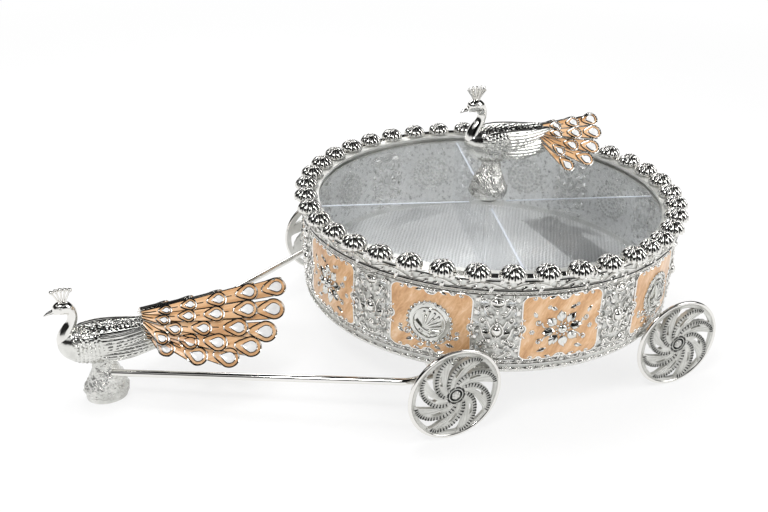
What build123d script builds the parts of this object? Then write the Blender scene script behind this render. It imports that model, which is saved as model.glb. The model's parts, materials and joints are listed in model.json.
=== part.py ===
from build123d import *
import os
from math import atan2, cos, degrees, pi, radians, sin, sqrt

# Dry fruit box built as a four-wheeled carriage drawn by a peacock. Millimetres, +Z up.
# The peacock faces -X. The origin is on the ground, under the middle of the whole carriage.

# Driving dimensions
overall_length = 430.0
rosette_circle_r = 125.0
rosette_r = 8.25
rosette_height = 7.0
rosette_petals = 10
rosette_count = 38
seam_angle = -67.0
seam_gap = 7.3
box_x = overall_length / 2 - rosette_circle_r - rosette_r

# Box wall, a slightly barrelled openwork casting with straight panels between two gentle cones
wall_thickness = 2.0
wall_bottom_z, wall_top_z = 42.5, 94.0
belly_low_z, belly_high_z = 52.0, 84.0
wall_bottom_r, wall_middle_r, wall_top_r = 125.2, 126.4, 125.4
panel_count = 10
panel_pitch = 360 / panel_count
first_panel_angle = -97.0
panel_half_angle = 11.6
panel_low_z, panel_high_z = 46.0, 89.0
panel_corner_r, side_bite_r, top_bite_r, small_bite_r = 5.0, 2.8, 4.2, 1.7
enamel_thickness = 0.5

# Base rim, floor and top rim
base_z = 36.5
rim_outer_r, rim_inner_r = 125.2, 118.0
floor_ledge_z, floor_thickness, floor_r = 37.7, 1.2, 122.6
top_rim_z = 99.0

# Lid
skirt_low_z, skirt_r, skirt_thickness = 92.5, 128.0, 1.2
flange_thickness, flange_inner_r = 1.6, 116.0
glass_r, glass_thickness = 120.0, 3.0
strip_thickness, strip_half_width = 0.8, 3.2
screw_r, screw_head_r, screw_head_height = 2.0, 5.0, 1.1

# Compartment tray
tray_r, tray_wall, tray_floor, tray_top_z = 121.0, 1.8, 2.0, 93.0
divider_thickness, divider_top_z, divider_turn = 2.4, 94.2, -16.0
divider_gap = 0.2
screw_relief_r, screw_relief_depth = 12.0, 5.0

# Running gear
wheel_r, wheel_rim_width, wheel_thickness = 30.4, 4.6, 3.0
wheel_x, wheel_face_y = 80.0, 119.6
feather_count, feather_depth = 8, 2.6
hub_r, boss_r, boss_length = 6.0, 5.0, 8.6
axle_r, axle_end_y = 2.5, 117.6
saddle_y, saddle_thickness, saddle_width = 68.0, 4.0, 11.0
running_gap = 0.06
axle_z = wheel_r
rivet_r, rivet_offset = 1.2, 8.0

# Birds and rocks
body_sides, neck_sides, rock_sides, wing_sides = 20, 14, 9, 12
# Stations of a folded wing: (along, out, height, half thickness, half height)
wing_stations = [
    (-12, 6.5, 20, 1.0, 2.0), (-6, 8.6, 20.5, 2.2, 6.0), (4, 9.8, 19.5, 2.6, 8.0), (16, 9.2, 19.5, 2.4, 7.4),
    (27, 7.2, 20.5, 2.0, 5.4), (38, 4.8, 22.5, 1.4, 2.6), (43, 3.6, 23.5, 0.5, 0.8),
]
crest_plumes, crest_lean, crest_length, plume_r, bead_r = 5, 13.0, 8.4, 0.55, 1.2

# Draw bar
rod_r, eye_r, eye_y, eye_thickness = 1.75, 5.0, 96.0, 4.0
rod_front_x, rod_front_y, rod_front_z = -262.0, 7.5, 20.5
rock_x = -266.0

os.makedirs("parts", exist_ok=True)


def save(name, shape):
    """One STEP for one sub-part, moved from the box's own centre line to the carriage's origin."""
    export_step(Pos(box_x, 0, 0) * shape, f"parts/{name}.step")


def group(shapes):
    """Several separate solids as one sub-part."""
    solids = [s for shape in shapes for s in shape.solids()]
    return Compound(children=solids) if len(solids) > 1 else solids[0]


def ring(profile):
    """A closed profile of (radius, height) points turned about the box's axis."""
    face = Plane.XZ * make_face(Polyline(*profile, close=True))
    return revolve(face, Axis.Z)


def disc(radius, low, high):
    return Pos(0, 0, (low + high) / 2) * Cylinder(radius, high - low)


def wall_face(offset):
    """The wall's outer face as (radius, height) points, pushed outwards by an offset."""
    return [
        (wall_bottom_r + offset, wall_bottom_z), (wall_middle_r + offset, belly_low_z),
        (wall_middle_r + offset, belly_high_z), (wall_top_r + offset, wall_top_z),
    ]


def barrel(inside, outside):
    """The barrelled wall between two offsets from its outer face, its seam beside a panel."""
    seam = first_panel_angle + panel_half_angle + 0.4
    return Rot(0, 0, seam) * ring(wall_face(outside) + wall_face(inside)[::-1])


def radial_prism(face, angle, low_r, high_r):
    """A flat face drawn in (sideways, height), pushed outwards through the wall at an angle."""
    plane = Plane(origin=(0, 0, 0), x_dir=(0, 1, 0), z_dir=(1, 0, 0))
    prism = extrude(plane * face, high_r - low_r)
    return Rot(0, 0, angle) * Pos(low_r, 0, 0) * prism


# Leaf-shaped piercings of one post, mirrored: (sideways, height, half length, half width, turn)
piercings = [
    (5.4, 77.2, 4.0, 1.7, 55), (8.0, 84.0, 3.4, 1.5, 0), (6.2, 66.2, 3.0, 1.5, 90),
    (5.6, 58.6, 3.4, 1.3, -30), (6.0, 51.4, 3.2, 1.5, 15), (11.2, 70.4, 2.2, 1.1, 60),
    (11.4, 62.4, 2.0, 1.1, 100), (11.2, 77.0, 2.2, 1.1, 90), (11.0, 54.0, 2.2, 1.0, 90),
]
shell_r, shell_flutes, shell_z = 12.5, 14, 67.0
bud_r, leaf_z = 3.2, 66.0
# Leaves of a spray: (sideways, height, half length, half width, turn)
spray_leaves = [
    (-7, 1, 7, 2.6, 175), (-6, -5, 6.5, 2.6, 215), (0, -7, 6, 2.8, 270), (6, -5, 6.5, 2.6, 325),
    (7, 1, 7, 2.6, 5), (6, 6, 7, 2.4, 45), (1, 8, 6, 2.4, 85), (-6, 6, 6.5, 2.4, 135),
]
slot_half_width, slot_low_z, slot_high_z = 12.0, 43.6, 45.2


def leaf_shape(x, z, half_length, half_width, turn):
    """A pointed leaf drawn flat, its point along the turn."""
    a, b = half_length, half_width
    outline = [(a, 0), (a * 0.45, b * 0.85), (-a * 0.25, b), (-a, 0), (-a * 0.25, -b), (a * 0.45, -b * 0.85)]
    return Pos(x, z) * Rot(0, 0, turn) * make_face(Polyline(*outline, close=True))


def wall_band():
    """The openwork wall: posts pierced with leaves and a long slot, between the solid panel backs."""
    wall = barrel(-wall_thickness, 0)
    slot = Pos(0, (slot_low_z + slot_high_z) / 2) * Rectangle(2 * slot_half_width, slot_high_z - slot_low_z)
    faces = [slot]
    for x, z, a, b, turn in piercings:
        faces += [leaf_shape(x, z, a, b, turn), leaf_shape(-x, z, a, b, 180 - turn)]
    cutters = []
    for i in range(panel_count):
        angle = first_panel_angle + panel_pitch * (i + 0.5)
        cutters += [radial_prism(face, angle, wall_top_r - 8, wall_middle_r + 4) for face in faces]
    return wall - cutters


def panel_outline():
    """An enamel cell's outline, in (sideways, height): round corners, and bites for the scrolls' eyes."""
    half = wall_middle_r * sin(radians(panel_half_angle))
    middle, tall = (panel_low_z + panel_high_z) / 2, panel_high_z - panel_low_z
    cell = Pos(0, middle) * RectangleRounded(2 * half, tall, panel_corner_r)
    bites = [Pos(side * half, middle) * Circle(side_bite_r) for side in (-1, 1)]
    bites += [Pos(0, z) * Circle(top_bite_r) for z in (panel_low_z - 1, panel_high_z + 1)]
    bites += [
        Pos(side * half * 0.52, z) * Circle(small_bite_r)
        for side in (-1, 1) for z in (panel_low_z, panel_high_z)
    ]
    return cell - bites


def enamel_panels():
    skin = barrel(0, enamel_thickness)
    panels = []
    for i in range(panel_count):
        prism = radial_prism(panel_outline(), first_panel_angle + panel_pitch * i, 110, 135)
        panels.append(skin & prism)
    return group(panels)


def star(radius, count, dip):
    """A round outline with one shallow flute between each pair of petals."""
    points = []
    for k in range(2 * count):
        r = radius if k % 2 == 0 else radius * (1 - dip)
        a = pi * k / count
        points.append((r * cos(a), r * sin(a)))
    return make_face(Polyline(*points, close=True))


def fluted_dome(radius, height, count, dip):
    """A petalled dome: a fluted skirt, then flutes that meet at the crown."""
    low = star(radius, count, dip)
    shoulder = Pos(0, 0, height * 0.55) * star(radius * 0.8, count, dip)
    return loft([low, shoulder, Vertex(0, 0, height)], ruled=True)


def shell_medallions():
    """Fan shells in the middle of every other panel: a scalloped plate, a fluted dome and a boss."""
    plate = extrude(star(shell_r, shell_flutes, 0.12), 1.3)
    dome = Pos(0, 0, 0.9) * fluted_dome(shell_r * 0.72, 2.4, shell_flutes, 0.16)
    medallion = plate + dome
    return group([
        panel_relief(medallion, first_panel_angle + panel_pitch * (i + 1), shell_z)
        for i in range(0, panel_count, 2)
    ])


def panel_relief(shape, angle, height):
    """A relief drawn on the ground plane, stood up on the panel's face at a height."""
    on_face = Pos(wall_middle_r + enamel_thickness - 0.6, 0, height) * Rot(0, 90, 0) * shape
    turned = Rot(0, 0, angle) * on_face
    return turned - disc(wall_middle_r + enamel_thickness, wall_bottom_z, wall_top_z)


def leaf_reliefs():
    """Sprays of pointed leaves round a bud, on the panels between the shells."""
    spray = extrude(Circle(bud_r), 2.4)
    for x, y, a, b, turn in spray_leaves:
        spray = spray + extrude(leaf_shape(x, y, a, b, turn), 1.6)
    # The spray is drawn with X across the panel and Y up it, and stood up by a quarter turn.
    stood = Rot(0, 0, 90) * spray
    return group([
        panel_relief(stood, first_panel_angle + panel_pitch * i, leaf_z) for i in range(0, panel_count, 2)
    ])


def base_rim():
    return ring([
        (rim_inner_r, base_z), (rim_outer_r - 0.6, base_z), (rim_outer_r + 0.5, base_z + 2.2),
        (rim_outer_r - 0.4, base_z + 4.6), (rim_outer_r - 0.6, wall_bottom_z),
        (floor_r + 0.1, wall_bottom_z), (floor_r + 0.1, floor_ledge_z), (rim_inner_r, floor_ledge_z),
    ])


def floor_pan():
    pan = disc(floor_r, floor_ledge_z, floor_ledge_z + floor_thickness)
    holes = [
        Pos(x, y, floor_ledge_z) * Cylinder(rivet_r, 10)
        for x, y in rivet_places()
    ]
    return pan - holes


def rivet_places():
    return [
        (sx * wheel_x + dx, sy * saddle_y)
        for sx in (-1, 1) for sy in (-1, 1) for dx in (-rivet_offset, rivet_offset)
    ]


def top_rim():
    return ring([
        (wall_top_r - 2.6, wall_top_z), (wall_top_r, wall_top_z), (wall_top_r + 0.5, wall_top_z + 1.5),
        (wall_top_r, top_rim_z - 0.8), (wall_top_r - 0.8, top_rim_z), (wall_top_r - 2.6, top_rim_z),
    ])


def lid_ring():
    top = top_rim_z + flange_thickness
    return ring([
        (flange_inner_r, top_rim_z), (skirt_r - skirt_thickness, top_rim_z),
        (skirt_r - skirt_thickness, skirt_low_z), (skirt_r, skirt_low_z), (skirt_r + 0.5, skirt_low_z + 0.8),
        (skirt_r - 0.1, skirt_low_z + 1.6), (skirt_r - 0.1, top - 1.2), (skirt_r - 1.0, top),
        (flange_inner_r, top),
    ])


def rosette_strip():
    low = top_rim_z + flange_thickness
    return ring([
        (rosette_circle_r - strip_half_width, low), (rosette_circle_r + strip_half_width - 0.9, low),
        (rosette_circle_r + strip_half_width - 0.9, low + strip_thickness),
        (rosette_circle_r - strip_half_width, low + strip_thickness),
    ])


def rosettes():
    """A row of fluted domes, with a small one squeezed in where the strip's two ends meet."""
    low = top_rim_z + flange_thickness + strip_thickness
    pitch = (360 - 2 * seam_gap) / (rosette_count - 1)
    dome = fluted_dome(rosette_r, rosette_height, rosette_petals, 0.1)
    small = fluted_dome(rosette_r * 0.88, rosette_height, rosette_petals, 0.1)
    placed = [Rot(0, 0, seam_angle) * Pos(rosette_circle_r, 0, low) * small]
    for i in range(rosette_count):
        angle = seam_angle + seam_gap + pitch * i
        placed.append(Rot(0, 0, angle) * Pos(rosette_circle_r, 0, low) * dome)
    return group(placed)


def glass_disc():
    plate = disc(glass_r, top_rim_z - glass_thickness, top_rim_z)
    return plate - Pos(0, 0, top_rim_z) * Cylinder(screw_r + 0.3, 20)


def glass_retainer():
    """An angle ring under the flange that holds the glass from below and round its edge."""
    low = top_rim_z - glass_thickness
    return ring([
        (glass_r - 3.2, low - 1.2), (glass_r + 1.4, low - 1.2), (glass_r + 1.4, top_rim_z),
        (glass_r + 0.2, top_rim_z), (glass_r + 0.2, low), (glass_r - 3.2, low),
    ])


def knob_washer():
    low = top_rim_z - glass_thickness - 0.5
    return disc(6.0, low, low + 0.5) - Pos(0, 0, low) * Cylinder(screw_r + 0.3, 4)


def knob_screw():
    head_top = top_rim_z - glass_thickness - 0.5
    head = disc(screw_head_r, head_top - screw_head_height, head_top)
    slot = Pos(0, 0, head_top - screw_head_height) * Box(2 * screw_head_r, 1.0, 0.9)
    return head - slot + disc(screw_r, head_top - 0.2, top_rim_z + 9)


def compartment_tray():
    low = floor_ledge_z + floor_thickness
    return ring([
        (0, low), (tray_r - 2, low), (tray_r, low + 2), (tray_r, tray_top_z),
        (tray_r - tray_wall, tray_top_z), (tray_r - tray_wall, low + tray_floor + 1.2),
        (tray_r - tray_wall - 1.2, low + tray_floor), (0, low + tray_floor),
    ])


def divider(slot_from_top):
    low = floor_ledge_z + floor_thickness + tray_floor
    half_length = tray_r - tray_wall - 1.6
    height = divider_top_z - low
    middle = low + height / 2
    plate = Pos(0, 0, middle) * Box(2 * half_length, divider_thickness, height)
    relief = Pos(0, 0, divider_top_z) * Cylinder(screw_relief_r, 2 * screw_relief_depth)
    slot_z = middle + height / 4 if slot_from_top else middle - height / 4
    slot = Pos(0, 0, slot_z) * Box(divider_thickness + 2 * divider_gap, 10, height / 2 + 0.2)
    return plate - relief - slot


def long_divider():
    return Rot(0, 0, divider_turn) * divider(True)


def cross_divider():
    return Rot(0, 0, divider_turn + 90) * divider(False)


def feather_face():
    """One curled spoke of a pinwheel: a leaf that leaves the hub and hooks over to the rim."""
    def polar(r, a):
        return (r * cos(radians(a)), r * sin(radians(a)))
    tip_r = wheel_r - wheel_rim_width + 1.0
    outer = Spline(polar(4, 100), polar(13, 66), polar(21, 30), polar(tip_r, 0))
    tip = Line(polar(tip_r, 0), polar(tip_r - 1.5, -6))
    inner = Spline(polar(tip_r - 1.5, -6), polar(19, 2), polar(12.5, 18), polar(4, 40))
    root = Line(polar(4, 40), polar(4, 100))
    return make_face([outer, tip, inner, root])


def wheel():
    """A cast pinwheel in its rim, standing in the XZ plane, front face towards -Y at y 0."""
    lying = ring_plate(wheel_r, wheel_r - wheel_rim_width, wheel_thickness)
    feather = extrude(feather_face(), feather_depth)
    spokes = [Rot(0, 0, 360 / feather_count * k) * feather for k in range(feather_count)]
    hub = extrude(Circle(hub_r), feather_depth)
    boss = Pos(0, 0, feather_depth) * extrude(Circle(boss_r), boss_length)
    bore_depth = wheel_face_y - axle_end_y
    bore = Pos(0, 0, bore_depth) * extrude(Circle(axle_r), 40)
    body = lying + spokes + hub + boss - bore
    return Rot(-90, 0, 0) * body


def ring_plate(outer, inner, thickness):
    """A wheel rim with a rounded tread edge on its front."""
    bevel = 1.0
    profile = [
        (inner, 0.6), (inner + 0.6, 0), (outer - bevel, 0), (outer, bevel), (outer, thickness - 0.4),
        (outer - 0.4, thickness), (inner, thickness),
    ]
    return revolve(Plane.XZ * make_face(Polyline(*profile, close=True)), Axis.Z)


def placed_wheel(end, side):
    """end is -1 at the front axle and 1 at the rear; side is -1 on the near side."""
    turn = Rot(0, 0, 0) if side < 0 else Rot(0, 0, 180)
    return Pos(end * wheel_x, side * wheel_face_y, axle_z) * turn * wheel()


def axle(end):
    return Pos(end * wheel_x, 0, axle_z) * Rot(90, 0, 0) * Cylinder(axle_r, 2 * axle_end_y)


def axle_saddles(end):
    """Lugs under the floor that carry one axle, each on a foot riveted to the floor."""
    shapes = []
    for side in (-1, 1):
        foot = Pos(0, 0, floor_ledge_z - 0.6) * Box(2 * rivet_offset + 6, 9, 1.2)
        lug_face = Rectangle(saddle_width, 5) + Pos(0, -3.5) * Circle(saddle_width / 2)
        lug = Pos(0, saddle_thickness / 2, axle_z + 3.5) * Rot(90, 0, 0) * extrude(lug_face, saddle_thickness)
        lug = lug + Pos(0, 0, axle_z + 5) * Box(saddle_width, saddle_thickness, 4)
        bore = Pos(0, 0, axle_z) * Rot(90, 0, 0) * Cylinder(axle_r + running_gap, 20)
        holes = [Pos(dx, 0, floor_ledge_z) * Cylinder(rivet_r, 10) for dx in (-rivet_offset, rivet_offset)]
        shapes.append(Pos(end * wheel_x, side * saddle_y, 0) * (foot + lug - bore - holes))
    return group(shapes)


def saddle_rivets():
    low, high = floor_ledge_z - 1.2, floor_ledge_z + floor_thickness
    shank = disc(rivet_r, low, high)
    head = disc(rivet_r * 1.7, low - 0.7, low)
    return group([Pos(x, y, 0) * (shank + head) for x, y in rivet_places()])


def axle_collars(end):
    """Short sleeves pressed on an axle that keep the rod eyes in line beside the wheels."""
    inner_end = eye_y + eye_thickness / 2 + 0.3
    outer_end = wheel_face_y - feather_depth - boss_length - 0.1
    length = outer_end - inner_end
    sleeve = Rot(90, 0, 0) * (Cylinder(axle_r + 1.5, length) - Cylinder(axle_r, 2 * length))
    y = (inner_end + outer_end) / 2
    return group([Pos(end * wheel_x, side * y, axle_z) * sleeve for side in (-1, 1)])


def draw_rod(side):
    """A round rod from the pedestal back to an eye that hangs on the front axle."""
    eye_x = -wheel_x
    path = FilletPolyline(
        (rod_front_x, side * rod_front_y, rod_front_z),
        (eye_x - 20, side * eye_y, axle_z - 0.5),
        (eye_x - 4.2, side * eye_y, axle_z),
        radius=14,
    )
    start = path @ 0
    rod = sweep(Plane(start, z_dir=path % 0) * Circle(rod_r), path=path)
    at_axle = Pos(eye_x, side * eye_y, axle_z) * Rot(90, 0, 0)
    return rod + at_axle * Cylinder(eye_r, eye_thickness) - at_axle * Cylinder(axle_r + running_gap, 20)


def oval(half_width, half_height, sides=body_sides):
    """An oval section with flat facets, like the planes of a hand-cut model."""
    turns = [2 * pi * (k + 0.5) / sides for k in range(sides)]
    points = [(half_width * cos(t), half_height * sin(t)) for t in turns]
    return make_face(Polyline(*points, close=True))


def rock(sections):
    """A craggy cast boulder through oval sections: (height, x, y, half length, half width, turn)."""
    faces = [
        Pos(x, y, z) * Rot(0, 0, turn) * oval(a, b, rock_sides) for z, x, y, a, b, turn in sections
    ]
    return loft(faces, ruled=True)


def pedestal_rock():
    boulder = rock([
        (0, 0, 0, 12.5, 10, 0), (6, 0, 0, 14.2, 11.5, 10), (13, 0.5, 0, 12.5, 10.5, 25),
        (20, 1, 0, 8.5, 8, 15), (27, 0, 0, 6.5, 6, 0), (31, 0, 0, 6.5, 5.5, 0),
    ])
    return Pos(rock_x, 0, 0) * (boulder & disc(30, 0, 40))


def knob_rock():
    boulder = rock([
        (0, 0, 0, 12, 10, 0), (5, 0, 0, 14.5, 12, 20), (12, -1, 0, 12.5, 10.5, 35),
        (18, 0, 0, 8, 7.5, 10), (24, 1, 0, 6, 5.5, 0), (29, 1, 0, 6, 5.5, 0),
    ])
    tapped = disc(screw_r, -10, 9)
    return Pos(0, 0, top_rim_z) * ((boulder & disc(30, 0, 40)) - tapped)


def sections_loft(stations):
    """A body lofted through ovals that stand across its length: (x, z, half width, half height)."""
    faces = []
    for x, z, half_width, half_height in stations:
        across = Plane(origin=(x, 0, z), x_dir=(0, 1, 0), z_dir=(-1, 0, 0))
        faces.append(across * oval(half_width, half_height))
    return loft(faces, ruled=True)


def neck_loft(stations):
    """A neck and head lofted through circles square to their own line: (x, z, radius)."""
    faces = []
    for k, (x, z, radius) in enumerate(stations):
        before, after = stations[max(k - 1, 0)], stations[min(k + 1, len(stations) - 1)]
        direction = (after[0] - before[0], 0, after[1] - before[1])
        across = Plane(origin=(x, 0, z), x_dir=(0, 1, 0), z_dir=direction)
        faces.append(across * oval(radius, radius, neck_sides))
    return loft(faces, ruled=True)


def wing(side):
    """A folded wing that stands a little proud of one flank: an oval loft with its tip to the rear."""
    faces = []
    for x, y, z, half_width, half_height in wing_stations:
        across = Plane(origin=(x, side * y, z), x_dir=(0, 1, 0), z_dir=(-1, 0, 0))
        faces.append(across * oval(half_width, half_height, wing_sides))
    return loft(faces, ruled=True)


def bird(shift_x, shift_z):
    """Body, wings, neck, head and beak of a peacock whose breast is at x -20 and whose feet are at z 0."""
    body = sections_loft([
        (-19.8, 19.5, 2.0, 2.6), (-18.4, 19, 4.6, 5.8), (-15.5, 18.2, 7.0, 8.6), (-9, 17, 9.5, 11.5),
        (2, 16, 11, 12.5), (14, 16.5, 10.5, 11.5), (25, 18.5, 8.5, 8.5), (36, 20.5, 6, 5.5),
    ])
    neck = neck_loft([
        (-12.5, 17, 6.6), (-14.6, 21, 5.6), (-14.4, 25, 4.8), (-12.6, 29, 4.0), (-10.6, 32, 3.4),
        (-9.3, 35, 3.1), (-8.8, 38, 3.1), (-9.4, 41, 3.4), (-11.4, 43.3, 4.1), (-14, 44.2, 4.5),
        (-17, 43.6, 4.0), (-19.4, 42.5, 2.5), (-22, 41.6, 1.3), (-25.2, 40.3, 0.4),
    ])
    return Pos(shift_x, 0, shift_z) * (body + neck + wing(-1) + wing(1))


def crest(shift_x, shift_z):
    """A fan of bead-tipped plumes that rise from a short bar on the crown."""
    plumes = []
    for k in range(crest_plumes):
        step = k - (crest_plumes - 1) / 2
        lean = radians(crest_lean * step)
        foot = Vector(-13.6 + 0.8 * step, 0, 47.6)
        along = Vector(sin(lean), 0, cos(lean))
        at_foot = Plane(origin=foot, z_dir=along)
        plumes.append(extrude(at_foot * RegularPolygon(plume_r, 6), crest_length))
        bead = loft([
            RegularPolygon(bead_r * 0.5, 8), Pos(0, 0, bead_r * 0.6) * RegularPolygon(bead_r, 8),
            Pos(0, 0, bead_r * 1.4) * RegularPolygon(bead_r, 8), Pos(0, 0, bead_r * 2) * RegularPolygon(bead_r * 0.5, 8),
        ], ruled=True)
        plumes.append(Plane(origin=foot + along * (crest_length - bead_r), z_dir=along) * bead)
    root = Pos(-13.6, 0, 47.8) * Box(4.4, 1.6, 1.6)
    return Pos(shift_x, 0, shift_z) * (root + plumes)


# Eye feathers of a half train: (along the ridge, down the slope, eye radius)
front_train = [
    (86, 4, 6.5), (80, 19, 7.5), (71, 33, 7.5), (59, 40, 7.0), (44, 43, 6.5), (26, 36, 6.5), (9, 26, 5.0),
]
front_inner_eyes = [(58, 4, 5.0), (54, 15, 6.0), (44, 26, 6.5), (32, 22, 5.0)]
knob_train = [(42, 3, 4.6), (40, 13, 5.2), (34, 23, 5.4), (26, 32, 5.2), (11, 32, 4.6)]
knob_inner_eyes = [(24, 3, 3.8), (22, 12, 4.2), (15, 20, 4.2)]
train_slope, train_rise, plate_thickness = 43.0, 5.0, 1.8
inlay_thickness, inlay_border, spot_share = 0.5, 1.3, 0.5


def half_plane(origin, side, lift):
    """The sloping face of a half train; side -1 is the near half, and the ridge rises to the rear."""
    rise = radians(train_rise)
    along = Vector(cos(rise), 0, sin(rise))
    level = Vector(0, side * cos(radians(train_slope)), -sin(radians(train_slope)))
    outward = (level.cross(along) if side < 0 else along.cross(level)).normalized()
    if side > 0:
        return Plane(origin=Vector(*origin) + outward * lift, x_dir=along, z_dir=outward)
    down = along.cross(outward)
    return Plane(origin=Vector(*origin) + outward * lift, x_dir=down * -1 if down.Z > 0 else down,
                 z_dir=outward)


def feather_blank(side, u, v, radius):
    """One feather: a straight quill that widens to a round eye."""
    length = sqrt(u * u + v * v)
    root_half, angle = 1.6, degrees(atan2(v, u))
    lean = degrees(atan2(radius - root_half, length))
    tangent = (length + radius * -sin(radians(lean)), radius * cos(radians(lean)))
    outline = [
        Line((0, root_half), tangent),
        ThreePointArc(tangent, (length + radius, 0), (tangent[0], -tangent[1])),
        Line((tangent[0], -tangent[1]), (0, -root_half)),
        Line((0, -root_half), (0, root_half)),
    ]
    face = Rot(0, 0, angle) * make_face(outline)
    return face if side > 0 else mirror(face, about=Plane(origin=(0, 0, 0), z_dir=(1, -1, 0)))


def drop(side, u, v, radius, grow):
    """A drop-shaped cell inside a feather's eye, its point towards the root."""
    angle = degrees(atan2(v, u))
    length = sqrt(u * u + v * v)
    r = radius * grow
    shoulder = (length - r * 0.25, r * 0.97)
    outline = [
        Line((length - 1.9 * r, 0), shoulder),
        ThreePointArc(shoulder, (length + r, 0), (shoulder[0], -shoulder[1])),
        Line((shoulder[0], -shoulder[1]), (length - 1.9 * r, 0)),
    ]
    face = Rot(0, 0, angle) * make_face(outline)
    return face if side > 0 else mirror(face, about=Plane(origin=(0, 0, 0), z_dir=(1, -1, 0)))


def train_plate(origin, feathers):
    """Two sloping fans of feathers that meet along the ridge, as one casting."""
    halves = []
    for side in (-1, 1):
        blanks = [feather_blank(side, *f) for f in feathers]
        fan = blanks[0]
        for blank in blanks[1:]:
            fan = fan + blank
        halves.append(extrude(half_plane(origin, side, 0) * fan, -plate_thickness))
    return halves[0] + halves[1]


def train_inlays(origin, eyes, share, lift):
    """The enamel drops of a train, laid on its outer face."""
    cells = []
    for side in (-1, 1):
        for u, v, radius in eyes:
            if v < 6:
                continue
            face = half_plane(origin, side, lift) * drop(side, u, v, radius - inlay_border, share)
            cells.append(extrude(face, inlay_thickness))
    return group(cells)


def train(name, origin, feathers, inner_eyes, trim):
    """The three sub-parts of a train. trim is the solid that already fills its root."""
    eyes = feathers + inner_eyes
    save(f"{name}_tail_plate", train_plate(origin, feathers) - trim)
    save(f"{name}_tail_enamel", train_inlays(origin, eyes, 1.0, 0))
    save(f"{name}_tail_eye_spots", train_inlays(origin, eyes, spot_share, inlay_thickness))


def box_parts():
    save("wall_band", wall_band())
    save("enamel_panels", enamel_panels())
    save("shell_medallions", shell_medallions())
    save("leaf_reliefs", leaf_reliefs())
    save("base_rim", base_rim())
    save("floor_pan", floor_pan())
    save("top_rim", top_rim())
    save("front_axle_saddles", axle_saddles(-1))
    save("rear_axle_saddles", axle_saddles(1))
    save("saddle_rivets", saddle_rivets())


def running_gear():
    for end, end_name in ((-1, "front"), (1, "rear")):
        save(f"{end_name}_axle", axle(end))
        save(f"{end_name}_axle_collars", axle_collars(end))
        for side, side_name in ((-1, "near"), (1, "far")):
            save(f"{end_name}_wheel_{side_name}", placed_wheel(end, side))


def lid_parts():
    peacock = bird(0, 120.0)
    save("lid_ring", lid_ring())
    save("rosette_strip", rosette_strip())
    save("rosettes", rosettes())
    save("glass_disc", glass_disc())
    save("glass_retainer", glass_retainer())
    save("knob_washer", knob_washer())
    save("knob_screw", knob_screw())
    save("knob_rock", knob_rock() - peacock)
    save("knob_peacock", peacock)
    save("knob_crest", crest(0, 120.0) - peacock)
    train("knob", (33, 0, 143.5), knob_train, knob_inner_eyes, peacock)


def tray_parts():
    save("compartment_tray", compartment_tray())
    save("long_divider", long_divider())
    save("cross_divider", cross_divider())


def draw_bar_parts():
    peacock = bird(-271.5, 23.5)
    rods = [draw_rod(-1), draw_rod(1)]
    save("draw_rod_near", rods[0])
    save("draw_rod_far", rods[1])
    save("pedestal_rock", pedestal_rock() - rods - [peacock])
    save("peacock_body", peacock)
    save("peacock_crest", crest(-271.5, 23.5) - peacock)
    train("peacock", (-240, 0, 54), front_train, front_inner_eyes, peacock)


box_parts()
running_gear()
lid_parts()
tray_parts()
draw_bar_parts()
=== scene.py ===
# %% [markdown]
# A dry fruit box built as a little silver carriage: a round openwork box on four pinwheels, pulled by a
# peacock, with a glass lid whose knob is a second peacock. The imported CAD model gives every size, so it is
# loaded first and nothing in it is moved. Lengths are in metres. Ornament is drawn in millimetres, and the
# helpers that take them say so.

# %% Load the frame
import json
import math
import random
import bpy
import bmesh
from mathutils import Matrix, Vector, noise as lattice


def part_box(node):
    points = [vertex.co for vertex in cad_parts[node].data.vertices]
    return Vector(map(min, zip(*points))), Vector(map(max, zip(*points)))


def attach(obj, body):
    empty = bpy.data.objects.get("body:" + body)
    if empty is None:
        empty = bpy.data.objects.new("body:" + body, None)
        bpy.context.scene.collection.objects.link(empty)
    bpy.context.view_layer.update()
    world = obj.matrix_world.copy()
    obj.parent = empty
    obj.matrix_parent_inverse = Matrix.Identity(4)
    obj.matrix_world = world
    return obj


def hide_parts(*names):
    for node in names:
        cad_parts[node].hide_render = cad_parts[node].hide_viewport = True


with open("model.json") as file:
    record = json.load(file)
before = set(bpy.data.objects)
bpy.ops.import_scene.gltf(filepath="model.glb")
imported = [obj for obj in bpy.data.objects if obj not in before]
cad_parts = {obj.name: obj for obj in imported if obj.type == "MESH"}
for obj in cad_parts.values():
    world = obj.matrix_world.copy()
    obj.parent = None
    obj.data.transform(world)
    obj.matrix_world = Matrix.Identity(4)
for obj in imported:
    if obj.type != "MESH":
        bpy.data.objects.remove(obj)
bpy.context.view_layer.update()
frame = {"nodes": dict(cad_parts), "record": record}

MM = 0.001
nodes = frame["nodes"]

# %% [markdown]
# Everything round is centred on the box, not on the origin, which lies under the middle of the whole
# carriage. The box's centre, the wheels and the two birds are read from the CAD nodes.

# %% Places read from the frame
def centre(node):
    low, high = (Vector(corner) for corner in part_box(node))
    return (low + high) / 2


def extent(node):
    low, high = (Vector(corner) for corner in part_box(node))
    return high - low


box_x = centre("glass_disc").x
strip_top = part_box("rosette_strip")[1][2]
print("box centre x", round(box_x, 5), "top of the lid's strip", round(strip_top, 5))

# %% [markdown]
# The camera is placed first, because every later choice is judged through it. It was fitted to the row of
# rosettes, the rims and the wheels in the photograph: it stands to the left of the carriage, looks down by
# about 27 degrees, and is turned about its own axis by about one degree.

# %% Camera
CAMERA_FROM_BOX = Vector((-0.3052, -0.5354, 0.3568))
CAMERA_AZIMUTH = math.radians(-23.1)
CAMERA_ELEVATION = math.radians(26.59)
CAMERA_ROLL = math.radians(1.12)
FOCAL_MM, SENSOR_MM = 45.2, 36.0

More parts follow.
